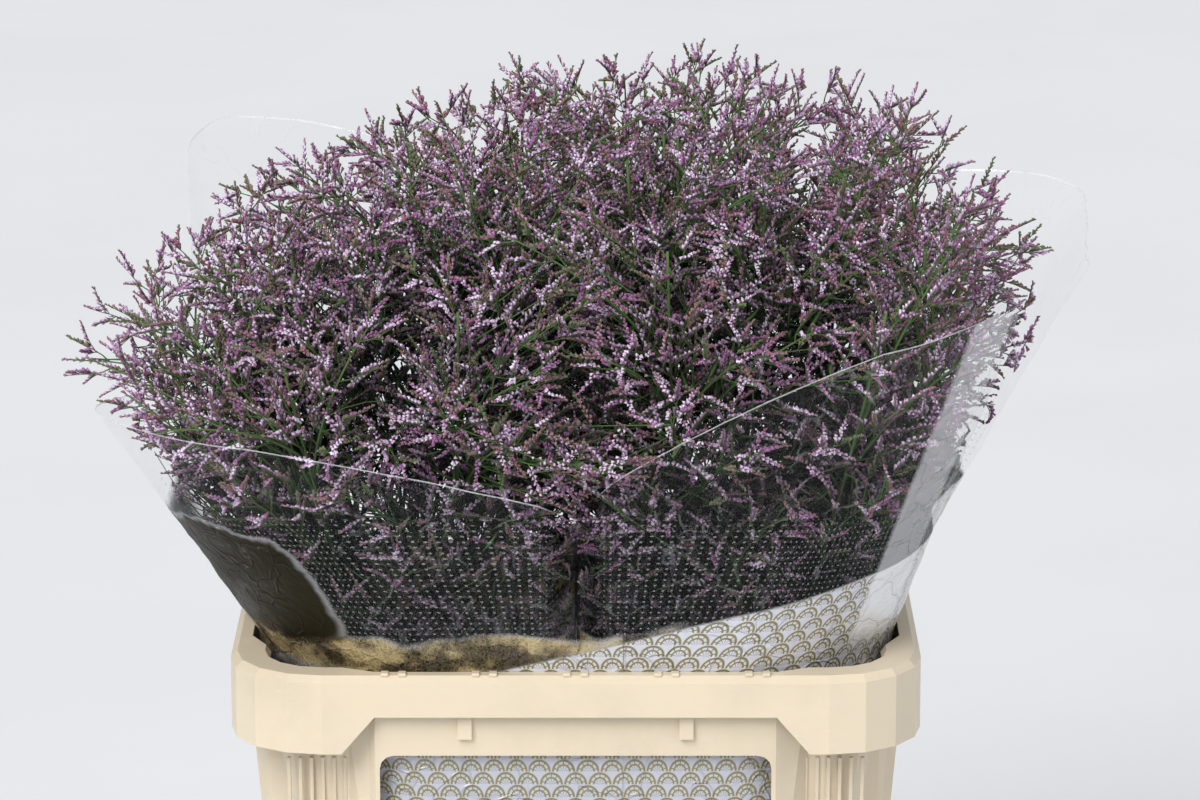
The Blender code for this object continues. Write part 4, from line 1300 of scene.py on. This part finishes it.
class Graph:
    """Short calls for the shader nodes that the materials share."""

    def __init__(self, tree):
        self.tree = tree

    def node(self, kind, **values):
        made = self.tree.nodes.new(kind)
        for name, value in values.items():
            setattr(made, name, value)
        return made

    def put(self, socket, value):
        if isinstance(value, bpy.types.NodeSocket):
            self.tree.links.new(value, socket)
        else:
            socket.default_value = value

    def math(self, operation, *values):
        made = self.node("ShaderNodeMath", operation=operation)
        for socket, value in zip(made.inputs, values):
            self.put(socket, value)
        return made.outputs[0]

    def times(self, first, *others):
        for other in others:
            first = self.math("MULTIPLY", first, other)
        return first

    def most(self, first, *others):
        for other in others:
            first = self.math("MAXIMUM", first, other)
        return first

    def plus(self, first, second):
        return self.math("ADD", first, second)

    def minus(self, first, second):
        return self.math("SUBTRACT", first, second)

    def far(self, first, second):
        """How far apart two values are."""
        return self.math("ABSOLUTE", self.minus(first, second))

    def mix(self, share, first, second):
        made = self.node("ShaderNodeMix", data_type="RGBA")
        self.put(made.inputs[0], share)
        self.put(made.inputs[6], first)
        self.put(made.inputs[7], second)
        return made.outputs[2]

    def between(self, value, low, high, to_low=0.0, to_high=1.0):
        """A smooth step from to_low, where the value is low, to to_high."""
        made = self.node("ShaderNodeMapRange", interpolation_type="SMOOTHSTEP")
        for number, amount in enumerate((value, low, high, to_low, to_high)):
            self.put(made.inputs[number], amount)
        return made.outputs[0]

    def noise(self, place, scale, detail=3.0, roughness=0.55):
        made = self.node("ShaderNodeTexNoise")
        self.put(made.inputs["Vector"], place)
        made.inputs["Scale"].default_value = scale
        made.inputs["Detail"].default_value = detail
        made.inputs["Roughness"].default_value = roughness
        return made.outputs[0]

    def attribute(self, name):
        return self.node("ShaderNodeAttribute", attribute_name=name).outputs["Fac"]

    def object_place(self):
        return self.node("ShaderNodeTexCoord").outputs["Object"]

    def sides(self, vector):
        """The X, Y and Z of a vector."""
        made = self.node("ShaderNodeSeparateXYZ")
        self.put(made.inputs[0], vector)
        return made.outputs

    def group(self, name, inlet, outlets, build, vector):
        """The outputs of a group that materials share: made once, then found by its name."""
        tree = bpy.data.node_groups.get(name)
        if not tree:
            tree = bpy.data.node_groups.new(name, "ShaderNodeTree")
            new_socket = tree.interface.new_socket
            new_socket(name=inlet, in_out="INPUT", socket_type="NodeSocketVector")
            for label in outlets:
                new_socket(name=label, in_out="OUTPUT", socket_type="NodeSocketFloat")
            inside = Graph(tree)
            entry, leave = inside.node("NodeGroupInput"), inside.node("NodeGroupOutput")
            build(inside, entry.outputs, leave.inputs)
        made = self.node("ShaderNodeGroup", node_tree=tree)
        self.put(made.inputs[0], vector)
        return made.outputs

    def bump(self, height, strength, distance):
        made = self.node("ShaderNodeBump")
        made.inputs["Strength"].default_value = strength
        made.inputs["Distance"].default_value = distance
        self.put(made.inputs["Height"], height)
        return made.outputs[0]


def new_material(name):
    material = bpy.data.materials.new(name)
    material.use_nodes = True
    graph = Graph(material.node_tree)
    return material, graph, material.node_tree.nodes["Principled BSDF"].inputs


def stem_material():
    """Dry green stems, paler and browner here and there, with a faint length-wise grain, and
    painted shade that darkens them deep in the bunch and low down.
    """
    material, graph, shader = new_material("statice_stem")
    place = graph.object_place()
    patches = graph.between(graph.noise(place, 55.0), 0.40, 0.72, 0.0, 0.8)
    green = graph.mix(graph.attribute("tint"), (0.050, 0.125, 0.032, 1), (0.105, 0.215, 0.055, 1))
    colour = graph.mix(patches, green, (0.120, 0.125, 0.050, 1))
    # Painted shade: the stems turn nearly black deep inside the bunch and low down
    dark = graph.mix(graph.attribute("depth"), colour, (0.010, 0.020, 0.009, 1))
    graph.put(shader["Base Color"], dark)
    shader["Roughness"].default_value = 0.62
    shader["Specular IOR Level"].default_value = 0.35
    grain = graph.noise(place, 900.0, 2.0)
    graph.put(shader["Normal"], graph.bump(grain, 0.25, 0.0004))
    return material


def floret_material():
    """Papery florets: green at the foot, then pinkish brown, lilac and a pale lilac mouth, with
    painted shade that darkens them nearly to black deep in the bunch and low down.
    """
    material, graph, shader = new_material("statice_floret")
    bloom, tint = graph.attribute("bloom"), graph.attribute("tint")
    main = settings().lilac
    deep = (main[0] * 0.52, main[1] * 0.30, main[2] * 0.42, 1)
    pale = tuple(value * 0.26 + 0.73 for value in main) + (1,)
    calyx = graph.mix(tint, (0.070, 0.150, 0.042, 1), (0.150, 0.170, 0.075, 1))
    bud = graph.mix(tint, (0.200, 0.060, 0.110, 1), (0.360, 0.170, 0.190, 1))
    lilac = graph.mix(graph.between(tint, 0.15, 0.90), deep, (*main, 1))
    mouth = graph.mix(graph.between(tint, 0.16, 0.66), lilac, pale)
    colour = graph.mix(graph.between(bloom, 0.08, 0.34), calyx, bud)
    colour = graph.mix(graph.between(bloom, 0.34, 0.62), colour, lilac)
    colour = graph.mix(graph.between(bloom, 0.66, 0.95), colour, mouth)
    region = graph.noise(graph.object_place(), 15.0, 2.0)
    tired = graph.between(region, 0.50, 0.68, 0.0, 0.34)
    colour = graph.mix(tired, colour, (0.260, 0.080, 0.200, 1))
    # Painted shade: the florets turn nearly black deep inside the bunch and low down
    inner = graph.times(graph.attribute("depth"), 0.92)
    graph.put(shader["Base Color"], graph.mix(inner, colour, (0.022, 0.018, 0.020, 1)))
    shader["Roughness"].default_value = 0.72
    shader["Specular IOR Level"].default_value = 0.3
    shader["Sheen Weight"].default_value = 0.15
    shader["Sheen Roughness"].default_value = 0.5
    return material


def perforations(graph, entry, leave):
    """Small round holes in straight rows, seen as pale dots."""
    cell = graph.node("ShaderNodeVectorMath", operation="SCALE")
    graph.put(cell.inputs[0], entry["Film"])
    graph.put(cell.inputs["Scale"], 1 / HOLE_PITCH)
    inside = graph.node("ShaderNodeVectorMath", operation="FRACTION")
    graph.put(inside.inputs[0], cell.outputs[0])
    middle = graph.node("ShaderNodeVectorMath", operation="DISTANCE")
    graph.put(middle.inputs[0], inside.outputs[0])
    middle.inputs[1].default_value = (0.5, 0.5, 0.0)
    graph.put(leave["Dots"], graph.between(middle.outputs["Value"], 0.21, 0.11))


def scallops(graph, entry, leave):
    """Rows of overlapping fans, each row set half a fan along from the last."""
    across_film, up_film, _ = graph.sides(entry["Film"])
    tall = graph.math("DIVIDE", up_film, FAN_HIGH)
    shift = graph.times(graph.math("FLOOR", tall), 0.5)
    wide = graph.math("FRACT", graph.plus(graph.math("DIVIDE", across_film, FAN_WIDE), shift))
    x = graph.times(graph.minus(wide, 0.5), 2.0)
    y = graph.math("FRACT", tall)
    reach = graph.math("SQRT", graph.plus(graph.times(x, x), graph.times(y, y)))
    arc, inner = graph.far(reach, 0.86), graph.far(reach, 0.52)
    ray = graph.math("ABSOLUTE", graph.math("SINE", graph.times(graph.math("ARCTAN2", x, y), 5.0)))
    lines = graph.most(graph.between(arc, 0.13, 0.05), graph.between(inner, 0.10, 0.04))
    spokes = graph.times(graph.between(ray, 0.45, 0.2), graph.between(reach, 0.86, 0.8))
    graph.put(leave["Fans"], graph.most(lines, spokes))


def creases(graph, entry, leave):
    """Sharp folds of crumpled film, as a mask of painted highlights along them and as a height."""
    fold = graph.node("ShaderNodeTexVoronoi", feature="DISTANCE_TO_EDGE")
    drift = graph.node("ShaderNodeTexNoise")
    graph.put(drift.inputs["Vector"], entry["Place"])
    drift.inputs["Scale"].default_value = 30.0
    moved = graph.node("ShaderNodeVectorMath", operation="MULTIPLY_ADD")
    graph.put(moved.inputs[0], drift.outputs["Color"])
    moved.inputs[1].default_value = (0.045, 0.045, 0.045)
    graph.put(moved.inputs[2], entry["Place"])
    graph.put(fold.inputs["Vector"], moved.outputs[0])
    fold.inputs["Scale"].default_value = 38.0
    broken = graph.between(graph.noise(entry["Place"], 60.0, 3.0), 0.42, 0.62)
    edge = graph.between(fold.outputs["Distance"], 0.045, 0.0)
    # Painted highlight: broken pale lines along the folds
    graph.put(leave["Lit folds"], graph.times(edge, broken))
    fine = graph.noise(moved.outputs[0], 85.0, 4.0, 0.6)
    graph.put(leave["Height"], graph.plus(graph.times(edge, 0.5), fine))


def film_material(quarter):
    """Clear film with pale holes, painted highlights on its folds, its top edge and where seen
    aslant, and print low down with painted shade below the rim, edged as each sleeve is.
    """
    material, graph, shader = new_material("film_" + QUARTER_NAMES[quarter])
    looks = bpy.context.scene.statice_film
    place = graph.object_place()
    film = graph.node("ShaderNodeUVMap", uv_map="UVMap").outputs[0]
    x, y, z = graph.sides(place)
    dots = graph.group("film_holes", "Film", ("Dots",), perforations, film)[0]
    fans = graph.group("film_fans", "Film", ("Fans",), scallops, film)[0]
    lit_folds, height = graph.group("film_creases", "Place", ("Lit folds", "Height"), creases, place)

    level = graph.plus(z, graph.times(graph.minus(graph.noise(place, 40.0), 0.5), 0.020))
    slant = graph.math("MULTIPLY_ADD", graph.plus(x, PRINT_FROM_X), PRINT_SLOPE, RIM_Z)
    over = graph.minus(z, graph.most(slant, RIM_Z - PRINT_UNDER_RIM))
    printed = graph.between(over, 0.0015, -0.0015)
    holes = graph.times(dots, graph.between(level, HOLES_TOP, HOLES_TOP - 0.02))
    # Painted shade: the print's ground darkens below the rim
    shade = graph.between(z, *(RIM_Z - under for under in PRINT_SHADED))
    colour = graph.mix(fans, graph.mix(shade, PRINT_GROUND, PRINT_IN_SHADE), PRINT_LINE)
    colour = graph.mix(printed, FILM_WHITE, colour)

    outer = graph.attribute("outer_wall")
    # Painted reflection: the outer film turns whiter where it is seen aslant
    facing = graph.node("ShaderNodeLayerWeight")
    facing.inputs["Blend"].default_value = 0.35
    glance = graph.times(graph.math("POWER", facing.outputs["Facing"], 3.0), GLANCE_REFLECTION_COVER, outer)
    clear = graph.math("MULTIPLY_ADD", outer, looks.clear_cover, glance)
    alpha = graph.most(graph.times(printed, looks.print_cover), clear)
    # Painted highlight: a pale line along the film's top edge
    rim = graph.between(graph.attribute("to_edge"), *EDGE_HIGHLIGHT)
    # Painted highlights along the folds and the top edge, and the pale holes, raise the film's
    # cover
    for mask, cover in ((lit_folds, LIT_FOLD_COVER), (holes, HOLE_COVER), (rim, EDGE_HIGHLIGHT_COVER)):
        alpha = graph.most(alpha, graph.times(mask, cover, outer))
    if quarter[1] < 0:
        colour, alpha = add_net(graph, place, x, z, printed, colour, alpha)
    coat = FILM_COAT
    rough = graph.between(graph.noise(place, 18.0), 0.3, 0.7, 0.09, 0.24)
    if quarter == (-1, -1):
        banded = add_band(graph, x, y, level)
        colour = graph.mix(banded, colour, BAND_OLIVE)
        alpha = graph.most(alpha, graph.times(banded, BAND_COVER))
        coat = graph.math("MULTIPLY_ADD", banded, -FILM_COAT, FILM_COAT)
        rough = graph.math("MULTIPLY_ADD", banded, 0.35, rough)
        graph.put(shader["Metallic"], banded)
    if quarter == (1, -1):
        colour, alpha = add_flap_highlight(graph, x, y, z, colour, alpha)
    graph.put(shader["Base Color"], colour)
    graph.put(shader["Alpha"], alpha)
    graph.put(shader["Roughness"], rough)
    shader["Specular IOR Level"].default_value = 0.6
    graph.put(shader["Coat Weight"], coat)
    shader["Coat Roughness"].default_value = 0.06
    graph.put(shader["Normal"], graph.bump(height, 0.55, 0.0030))
    return material


def add_net(graph, place, x, z, printed, colour, alpha):
    """The crumpled gold net that shows through the front sleeves along the rim, up to the print,
    painted lit gold on its folds and shaded brown between them.
    """
    mesh = graph.node("ShaderNodeTexVoronoi", feature="DISTANCE_TO_EDGE")
    graph.put(mesh.inputs["Vector"], place)
    mesh.inputs["Scale"].default_value = 420.0
    threads = graph.between(mesh.outputs["Distance"], 0.20, 0.05)
    lit_folds = graph.between(graph.noise(place, 34.0, 5.0), 0.42, 0.60)
    low = RIM_Z + NET_ABOVE - 0.026
    wave = graph.math("MULTIPLY_ADD", graph.noise(place, 14.0, 2.0), 0.044, low)
    under = graph.between(graph.minus(z, wave), 0.0, -0.006)
    above = graph.between(z, RIM_Z - 0.012, RIM_Z)
    left = graph.between(x, NET_TO_X, NET_TO_X - 0.03)
    mask = graph.times(under, above, left, graph.minus(1.0, printed))
    cover = graph.math("MULTIPLY_ADD", threads, 0.22, graph.math("MULTIPLY_ADD", lit_folds, 0.46, 0.12))
    # Painted light and shade: lit gold where the fold noise is high, shaded brown where it is low
    gold = graph.mix(lit_folds, NET_SHADE, NET_GOLD_LIT)
    return graph.mix(mask, colour, gold), graph.most(alpha, graph.times(cover, mask))


def add_band(graph, x, y, level):
    """The dark olive patch on the outer side of the front left sleeve, leaning as the side does."""
    rise = graph.minus(level, RIM_Z + BAND_MIDDLE[1])
    middle = graph.math("MULTIPLY_ADD", rise, -BAND_LEAN, BAND_MIDDLE[0])
    wide, tall = (
        graph.math("POWER", graph.math("ABSOLUTE", graph.math("DIVIDE", past, half)), 4.0)
        for past, half in zip((graph.minus(x, middle), rise), BAND_HALF)
    )
    patch = graph.between(graph.plus(wide, tall), 1.15, 0.55)
    return graph.times(patch, graph.between(y, 0.0, -0.03))


def add_flap_highlight(graph, x, y, z, colour, alpha):
    """The folded strip down the outer corner of the front right sleeve, painted as a whitish
    highlight.
    """
    middle = graph.math("MULTIPLY_ADD", graph.minus(z, RIM_Z), FLAP_LEAN, FLAP_X)
    strip = graph.between(graph.far(x, middle), FLAP_HALF, FLAP_HALF - 0.004)
    front = graph.between(y, 0.02, -0.02)
    mask = graph.times(strip, front, graph.between(z, RIM_Z, RIM_Z + 0.02))
    # Painted highlight: the fold shows as whitish film
    shown = graph.times(mask, FLAP_COVER)
    return graph.mix(mask, colour, FILM_WHITE), graph.most(alpha, shown)


# The bucket, its collar and the ties


def plastic_wear(graph, entry, leave):
    """Dust, scuffs and fine scratches of a moulded bucket, as masks and a height."""
    dust = graph.noise(entry["Place"], 9.0, 5.0, 0.62)
    graph.put(leave["Dust"], graph.between(dust, 0.45, 0.75))
    stretched = graph.node("ShaderNodeMapping")
    graph.put(stretched.inputs["Vector"], entry["Place"])
    stretched.inputs["Scale"].default_value = (90.0, 90.0, 1400.0)
    stretched.inputs["Rotation"].default_value = (0.35, 0.15, 0.0)
    scratch = graph.noise(stretched.outputs[0], 1.0, 2.0)
    broken = graph.between(graph.noise(entry["Place"], 22.0), 0.52, 0.66)
    graph.put(leave["Scuffs"], graph.times(graph.between(scratch, 0.62, 0.72), broken))
    graph.put(leave["Grain"], graph.noise(entry["Place"], 1500.0, 2.0))


def plastic_material():
    """Cream polypropylene, a little dusty, with fine scuffs and a faint moulded grain."""
    material, graph, shader = new_material("cream_plastic")
    place = graph.object_place()
    outlets = ("Dust", "Scuffs", "Grain")
    dust, scuffs, grain = graph.group("plastic_wear", "Place", outlets, plastic_wear, place)
    cream = (*bpy.context.scene.statice_bucket.plastic_colour, 1)
    shade = tuple(value * 0.80 for value in cream[:3]) + (1,)
    pale = tuple(min(1.0, value * 1.12) for value in cream[:3]) + (1,)
    colour = graph.mix(graph.times(dust, 0.55), cream, shade)
    colour = graph.mix(graph.times(scuffs, 0.60), colour, pale)
    graph.put(shader["Base Color"], colour)
    graph.put(shader["Roughness"], graph.between(dust, 0.0, 1.0, 0.34, 0.56))
    shader["Specular IOR Level"].default_value = 0.45
    shader["Subsurface Weight"].default_value = 0.06
    shader["Subsurface Radius"].default_value = (0.010, 0.006, 0.003)
    heights = graph.plus(graph.times(grain, 0.35), graph.times(scuffs, -1.0))
    graph.put(shader["Normal"], graph.bump(heights, 0.25, 0.0005))
    return material


def rubber_material():
    """Tan natural rubber, duller and darker in patches."""
    material, graph, shader = new_material("rubber_band")
    place = graph.object_place()
    patches = graph.between(graph.noise(place, 160.0), 0.35, 0.7)
    tan = graph.mix(patches, (0.50, 0.34, 0.17, 1), (0.36, 0.24, 0.12, 1))
    graph.put(shader["Base Color"], tan)
    graph.put(shader["Roughness"], graph.between(patches, 0.0, 1.0, 0.5, 0.7))
    graph.put(shader["Normal"], graph.bump(graph.noise(place, 900.0, 2.0), 0.3, 0.0003))
    return material


def beam(name, low, high, material):
    """A block between two corners, softly bevelled."""
    deselect_all()
    centre = [(a + b) / 2 for a, b in zip(low, high)]
    bpy.ops.mesh.primitive_cube_add(size=1, location=centre)
    block = bpy.context.active_object
    block.name = block.data.name = name
    block.scale = [b - a for a, b in zip(low, high)]
    bpy.ops.object.transform_apply(location=True, rotation=True, scale=True)
    bevel = block.modifiers.new("soft edges", "BEVEL")
    bevel.width = min(b - a for a, b in zip(low, high)) * 0.25
    bevel.segments = 2
    bpy.ops.object.modifier_apply(modifier=bevel.name)
    block.data.materials.append(material)
    return block


def joined(name, blocks):
    deselect_all()
    for block in blocks:
        block.select_set(True)
    bpy.context.view_layer.objects.active = blocks[0]
    bpy.ops.object.join()
    whole = bpy.context.active_object
    whole.name = whole.data.name = name
    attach(whole, "root")
    return whole


def rim_nibs(material):
    """Pairs of low stacking nibs on the rim, along the front and the back."""
    blocks = []
    shifts = (-NIB_APART / 2, NIB_APART / 2)
    for side, number, shift in product((-1, 1), range(-NIB_PAIRS, NIB_PAIRS + 1), shifts):
        x = number * NIB_PITCH + shift
        y = side * (RIM_DEEP / 2 - RIM_LEDGE / 2)
        low = (x - NIB_LONG / 2, y - NIB_DEEP / 2, RIM_Z - NIB_SUNK)
        high = (x + NIB_LONG / 2, y + NIB_DEEP / 2, RIM_Z + NIB_HIGH)
        blocks.append(beam("nib", low, high, material))
    return joined("rim_nibs", blocks)


def leg_ribs(material):
    """Upright ribs on the collar's corner legs, at the front and the back."""
    places = product((-1, 1), (-1, 1), range(RIB_COUNT))
    return joined("leg_ribs", [
        leaning_rib(hand * (RIB_FROM + number * RIB_PITCH), side, material)
        for side, hand, number in places
    ])


def leaning_rib(x, side, material):
    """One rib whose back follows the leg's slope."""
    top_y = RIM_DEEP / 2 - LEG_INSET - (RIM_Z - RIB_TOP) * LEG_SLOPE
    low_y = RIM_DEEP / 2 - LEG_INSET - (RIM_Z - RIB_BOTTOM) * LEG_SLOPE
    low = (x - RIB_WIDE / 2, top_y - RIB_SUNK, RIB_BOTTOM)
    high = (x + RIB_WIDE / 2, top_y + RIB_DEEP, RIB_TOP)
    rib = beam("rib", low, high, material)
    for vert in rib.data.vertices:
        down = (RIB_TOP - vert.co.z) / (RIB_TOP - RIB_BOTTOM)
        vert.co.y = side * (vert.co.y - (top_y - low_y) * down)
    if side < 0:
        rib.data.flip_normals()
    return rib


class STATICE_OT_bucket(bpy.types.Operator):
    """Give the bucket, its collar and the ties their plastic and rubber, and add nibs and ribs"""

    bl_idname = "statice.bucket"
    bl_label = "Bucket and ties"

    def execute(self, context):
        plastic, rubber = plastic_material(), rubber_material()
        for name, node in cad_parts.items():
            if name in ("bucket", "bucket_collar"):
                node.material_slots[0].material = plastic
            if name.startswith("tie_"):
                node.material_slots[0].material = rubber
        rim_nibs(plastic)
        leg_ribs(plastic)
        return {"FINISHED"}


# The stage


def stage_material(name, colour, roughness):
    material, graph, shader = new_material(name)
    shade = tuple(value * 0.975 for value in colour) + (1,)
    patches = graph.between(graph.noise(graph.object_place(), 2.0), 0.35, 0.65)
    graph.put(shader["Base Color"], graph.mix(patches, (*colour, 1), shade))
    shader["Roughness"].default_value = roughness
    return material


def add_light(kind, name, place, way, power, colour):
    """A lamp at this place that shines this way, as its data."""
    deselect_all()
    bpy.ops.object.light_add(type=kind, location=place)
    light = bpy.context.active_object
    light.name = name
    light.data.energy = power
    light.data.color = colour
    light.rotation_euler = way.to_track_quat("-Z", "Y").to_euler()
    return light.data


class STATICE_OT_stage(bpy.types.Operator):
    """Add the floor, the soft lights and the camera"""

    bl_idname = "statice.stage"
    bl_label = "Stage"

    def execute(self, context):
        looks = context.scene.statice_stage
        deselect_all()
        bpy.ops.mesh.primitive_plane_add(size=FLOOR_SIZE, location=(0, 0, 0))
        floor = context.active_object
        floor.name = floor.data.name = "floor"
        bpy.ops.object.mode_set(mode="EDIT")
        bpy.ops.mesh.subdivide(number_cuts=3)
        bpy.ops.object.mode_set(mode="OBJECT")
        floor.data.materials.append(stage_material("pale_floor", looks.floor_colour, 0.6))
        floor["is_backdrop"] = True
        power = looks.light_power
        for name, side, strength, colour in SUNS:
            place = LIT_PLACE + side * 3
            sun = add_light("SUN", name, place, -side, strength * power, colour)
            sun.angle = math.radians(SUN_SOFTNESS)
        way = LIT_PLACE - GLOSS_PLACE
        gloss = add_light("AREA", "gloss", GLOSS_PLACE, way, GLOSS_POWER * power, (1, 1, 1))
        gloss.shape = "RECTANGLE"
        gloss.size = gloss.size_y = GLOSS_SIZE
        world = bpy.data.worlds.new("pale_room")
        world.use_nodes = True
        shade = world.node_tree.nodes["Background"].inputs
        shade["Color"].default_value = (*looks.room_colour, 1)
        shade["Strength"].default_value = looks.room_light
        context.scene.world = world
        context.scene.view_settings.view_transform = "Standard"
        add_camera(context)
        return {"FINISHED"}


def add_camera(context):
    """The camera at the photograph's angle, looking slightly down on the bucket's front."""
    deselect_all()
    tilt = math.radians(CAMERA_TILT)
    aim = Vector(CAMERA_AIM)
    place = aim + CAMERA_FAR * Vector((0, -math.cos(tilt), math.sin(tilt)))
    bpy.ops.object.camera_add(location=place, rotation=(math.pi / 2 - tilt, 0, 0))
    camera = context.active_object
    camera.name = "camera"
    camera.data.sensor_width = CAMERA_SENSOR
    camera.data.lens = CAMERA_LENS
    context.scene.camera = camera


# What a user would change


class StaticeFlowerSettings(bpy.types.PropertyGroup):
    seed: IntProperty(
        name="Seed", description="How the stems and their spikes happen to grow", default=SEED
    )
    branchlets: IntProperty(
        name="Branchlets", description="Side twigs along each branch's end",
        default=11, min=2, max=16,
    )
    spike_length: FloatProperty(
        name="Spike length", description="Length of a one-sided spike of florets",
        default=0.024, min=0.01, max=0.04, unit="LENGTH",
    )
    lilac: FloatVectorProperty(
        name="Lilac", description="Main colour of the florets", subtype="COLOR",
        default=(0.60, 0.40, 0.69), min=0, max=1,
    )


class StaticeFilmSettings(bpy.types.PropertyGroup):
    crumple: FloatProperty(
        name="Crumple", description="How far the film's creases stand out above the rim",
        default=0.0035, min=0, max=0.006, unit="LENGTH",
    )
    clear_cover: FloatProperty(
        name="Haze", description="How much the clear film hides", default=0.012, min=0, max=1,
        subtype="FACTOR",
    )
    print_cover: FloatProperty(
        name="Print", description="How much the printed film hides", default=0.90, min=0, max=1,
        subtype="FACTOR",
    )


class StaticeBucketSettings(bpy.types.PropertyGroup):
    plastic_colour: FloatVectorProperty(
        name="Plastic", description="Colour of the bucket and its collar", subtype="COLOR",
        default=(0.71, 0.61, 0.46), min=0, max=1,
    )


class StaticeStageSettings(bpy.types.PropertyGroup):
    floor_colour: FloatVectorProperty(
        name="Floor", description="Colour of the floor", subtype="COLOR",
        default=(0.84, 0.85, 0.88), min=0, max=1,
    )
    room_colour: FloatVectorProperty(
        name="Room", description="Colour of the light from all round", subtype="COLOR",
        default=(0.86, 0.88, 0.90), min=0, max=1,
    )
    room_light: FloatProperty(
        name="Room light", description="Strength of the light from all round", default=0.50, min=0
    )
    light_power: FloatProperty(
        name="Lamps", description="Strength of the soft lamps", default=1.0, min=0
    )


class STATICE_PT_looks(bpy.types.Panel):
    bl_idname = "STATICE_PT_looks"
    bl_label = "Dried statice"
    bl_space_type = "VIEW_3D"
    bl_region_type = "UI"
    bl_category = "Statice"

    def draw(self, context):
        parts = (
            ("sprays", "looks", ("seed", "branchlets", "spike_length", "lilac")),
            ("sleeves", "film", ("crumple", "clear_cover", "print_cover")),
            ("bucket", "bucket", ("plastic_colour",)),
            ("stage", "stage", ("floor_colour", "room_colour", "room_light", "light_power")),
        )
        for operator, group, names in parts:
            box = self.layout.box()
            for name in names:
                box.prop(getattr(context.scene, "statice_" + group), name)
            box.operator("statice." + operator)


GROUPS = {
    "statice_looks": StaticeFlowerSettings,
    "statice_film": StaticeFilmSettings,
    "statice_bucket": StaticeBucketSettings,
    "statice_stage": StaticeStageSettings,
}
CLASSES = (
    STATICE_OT_sprays,
    STATICE_OT_sleeves,
    STATICE_OT_bucket,
    STATICE_OT_stage,
    STATICE_PT_looks,
)


def register():
    for name, group in GROUPS.items():
        bpy.utils.register_class(group)
        setattr(bpy.types.Scene, name, PointerProperty(type=group))
    for made in CLASSES:
        bpy.utils.register_class(made)


def unregister():
    for made in reversed(CLASSES):
        bpy.utils.unregister_class(made)
    for name, group in GROUPS.items():
        delattr(bpy.types.Scene, name)
        bpy.utils.unregister_class(group)


def corners(box):
    return [[float(value) for value in corner] for corner in box]


def main():
    register()
    bpy.ops.statice.sprays()
    bpy.ops.statice.sleeves()
    bpy.ops.statice.bucket()
    bpy.ops.statice.stage()
    deselect_all()
    sizes = {"cad": corners(CAD_BOX), "visual": corners(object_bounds())}


if __name__ == "__main__":
    main()
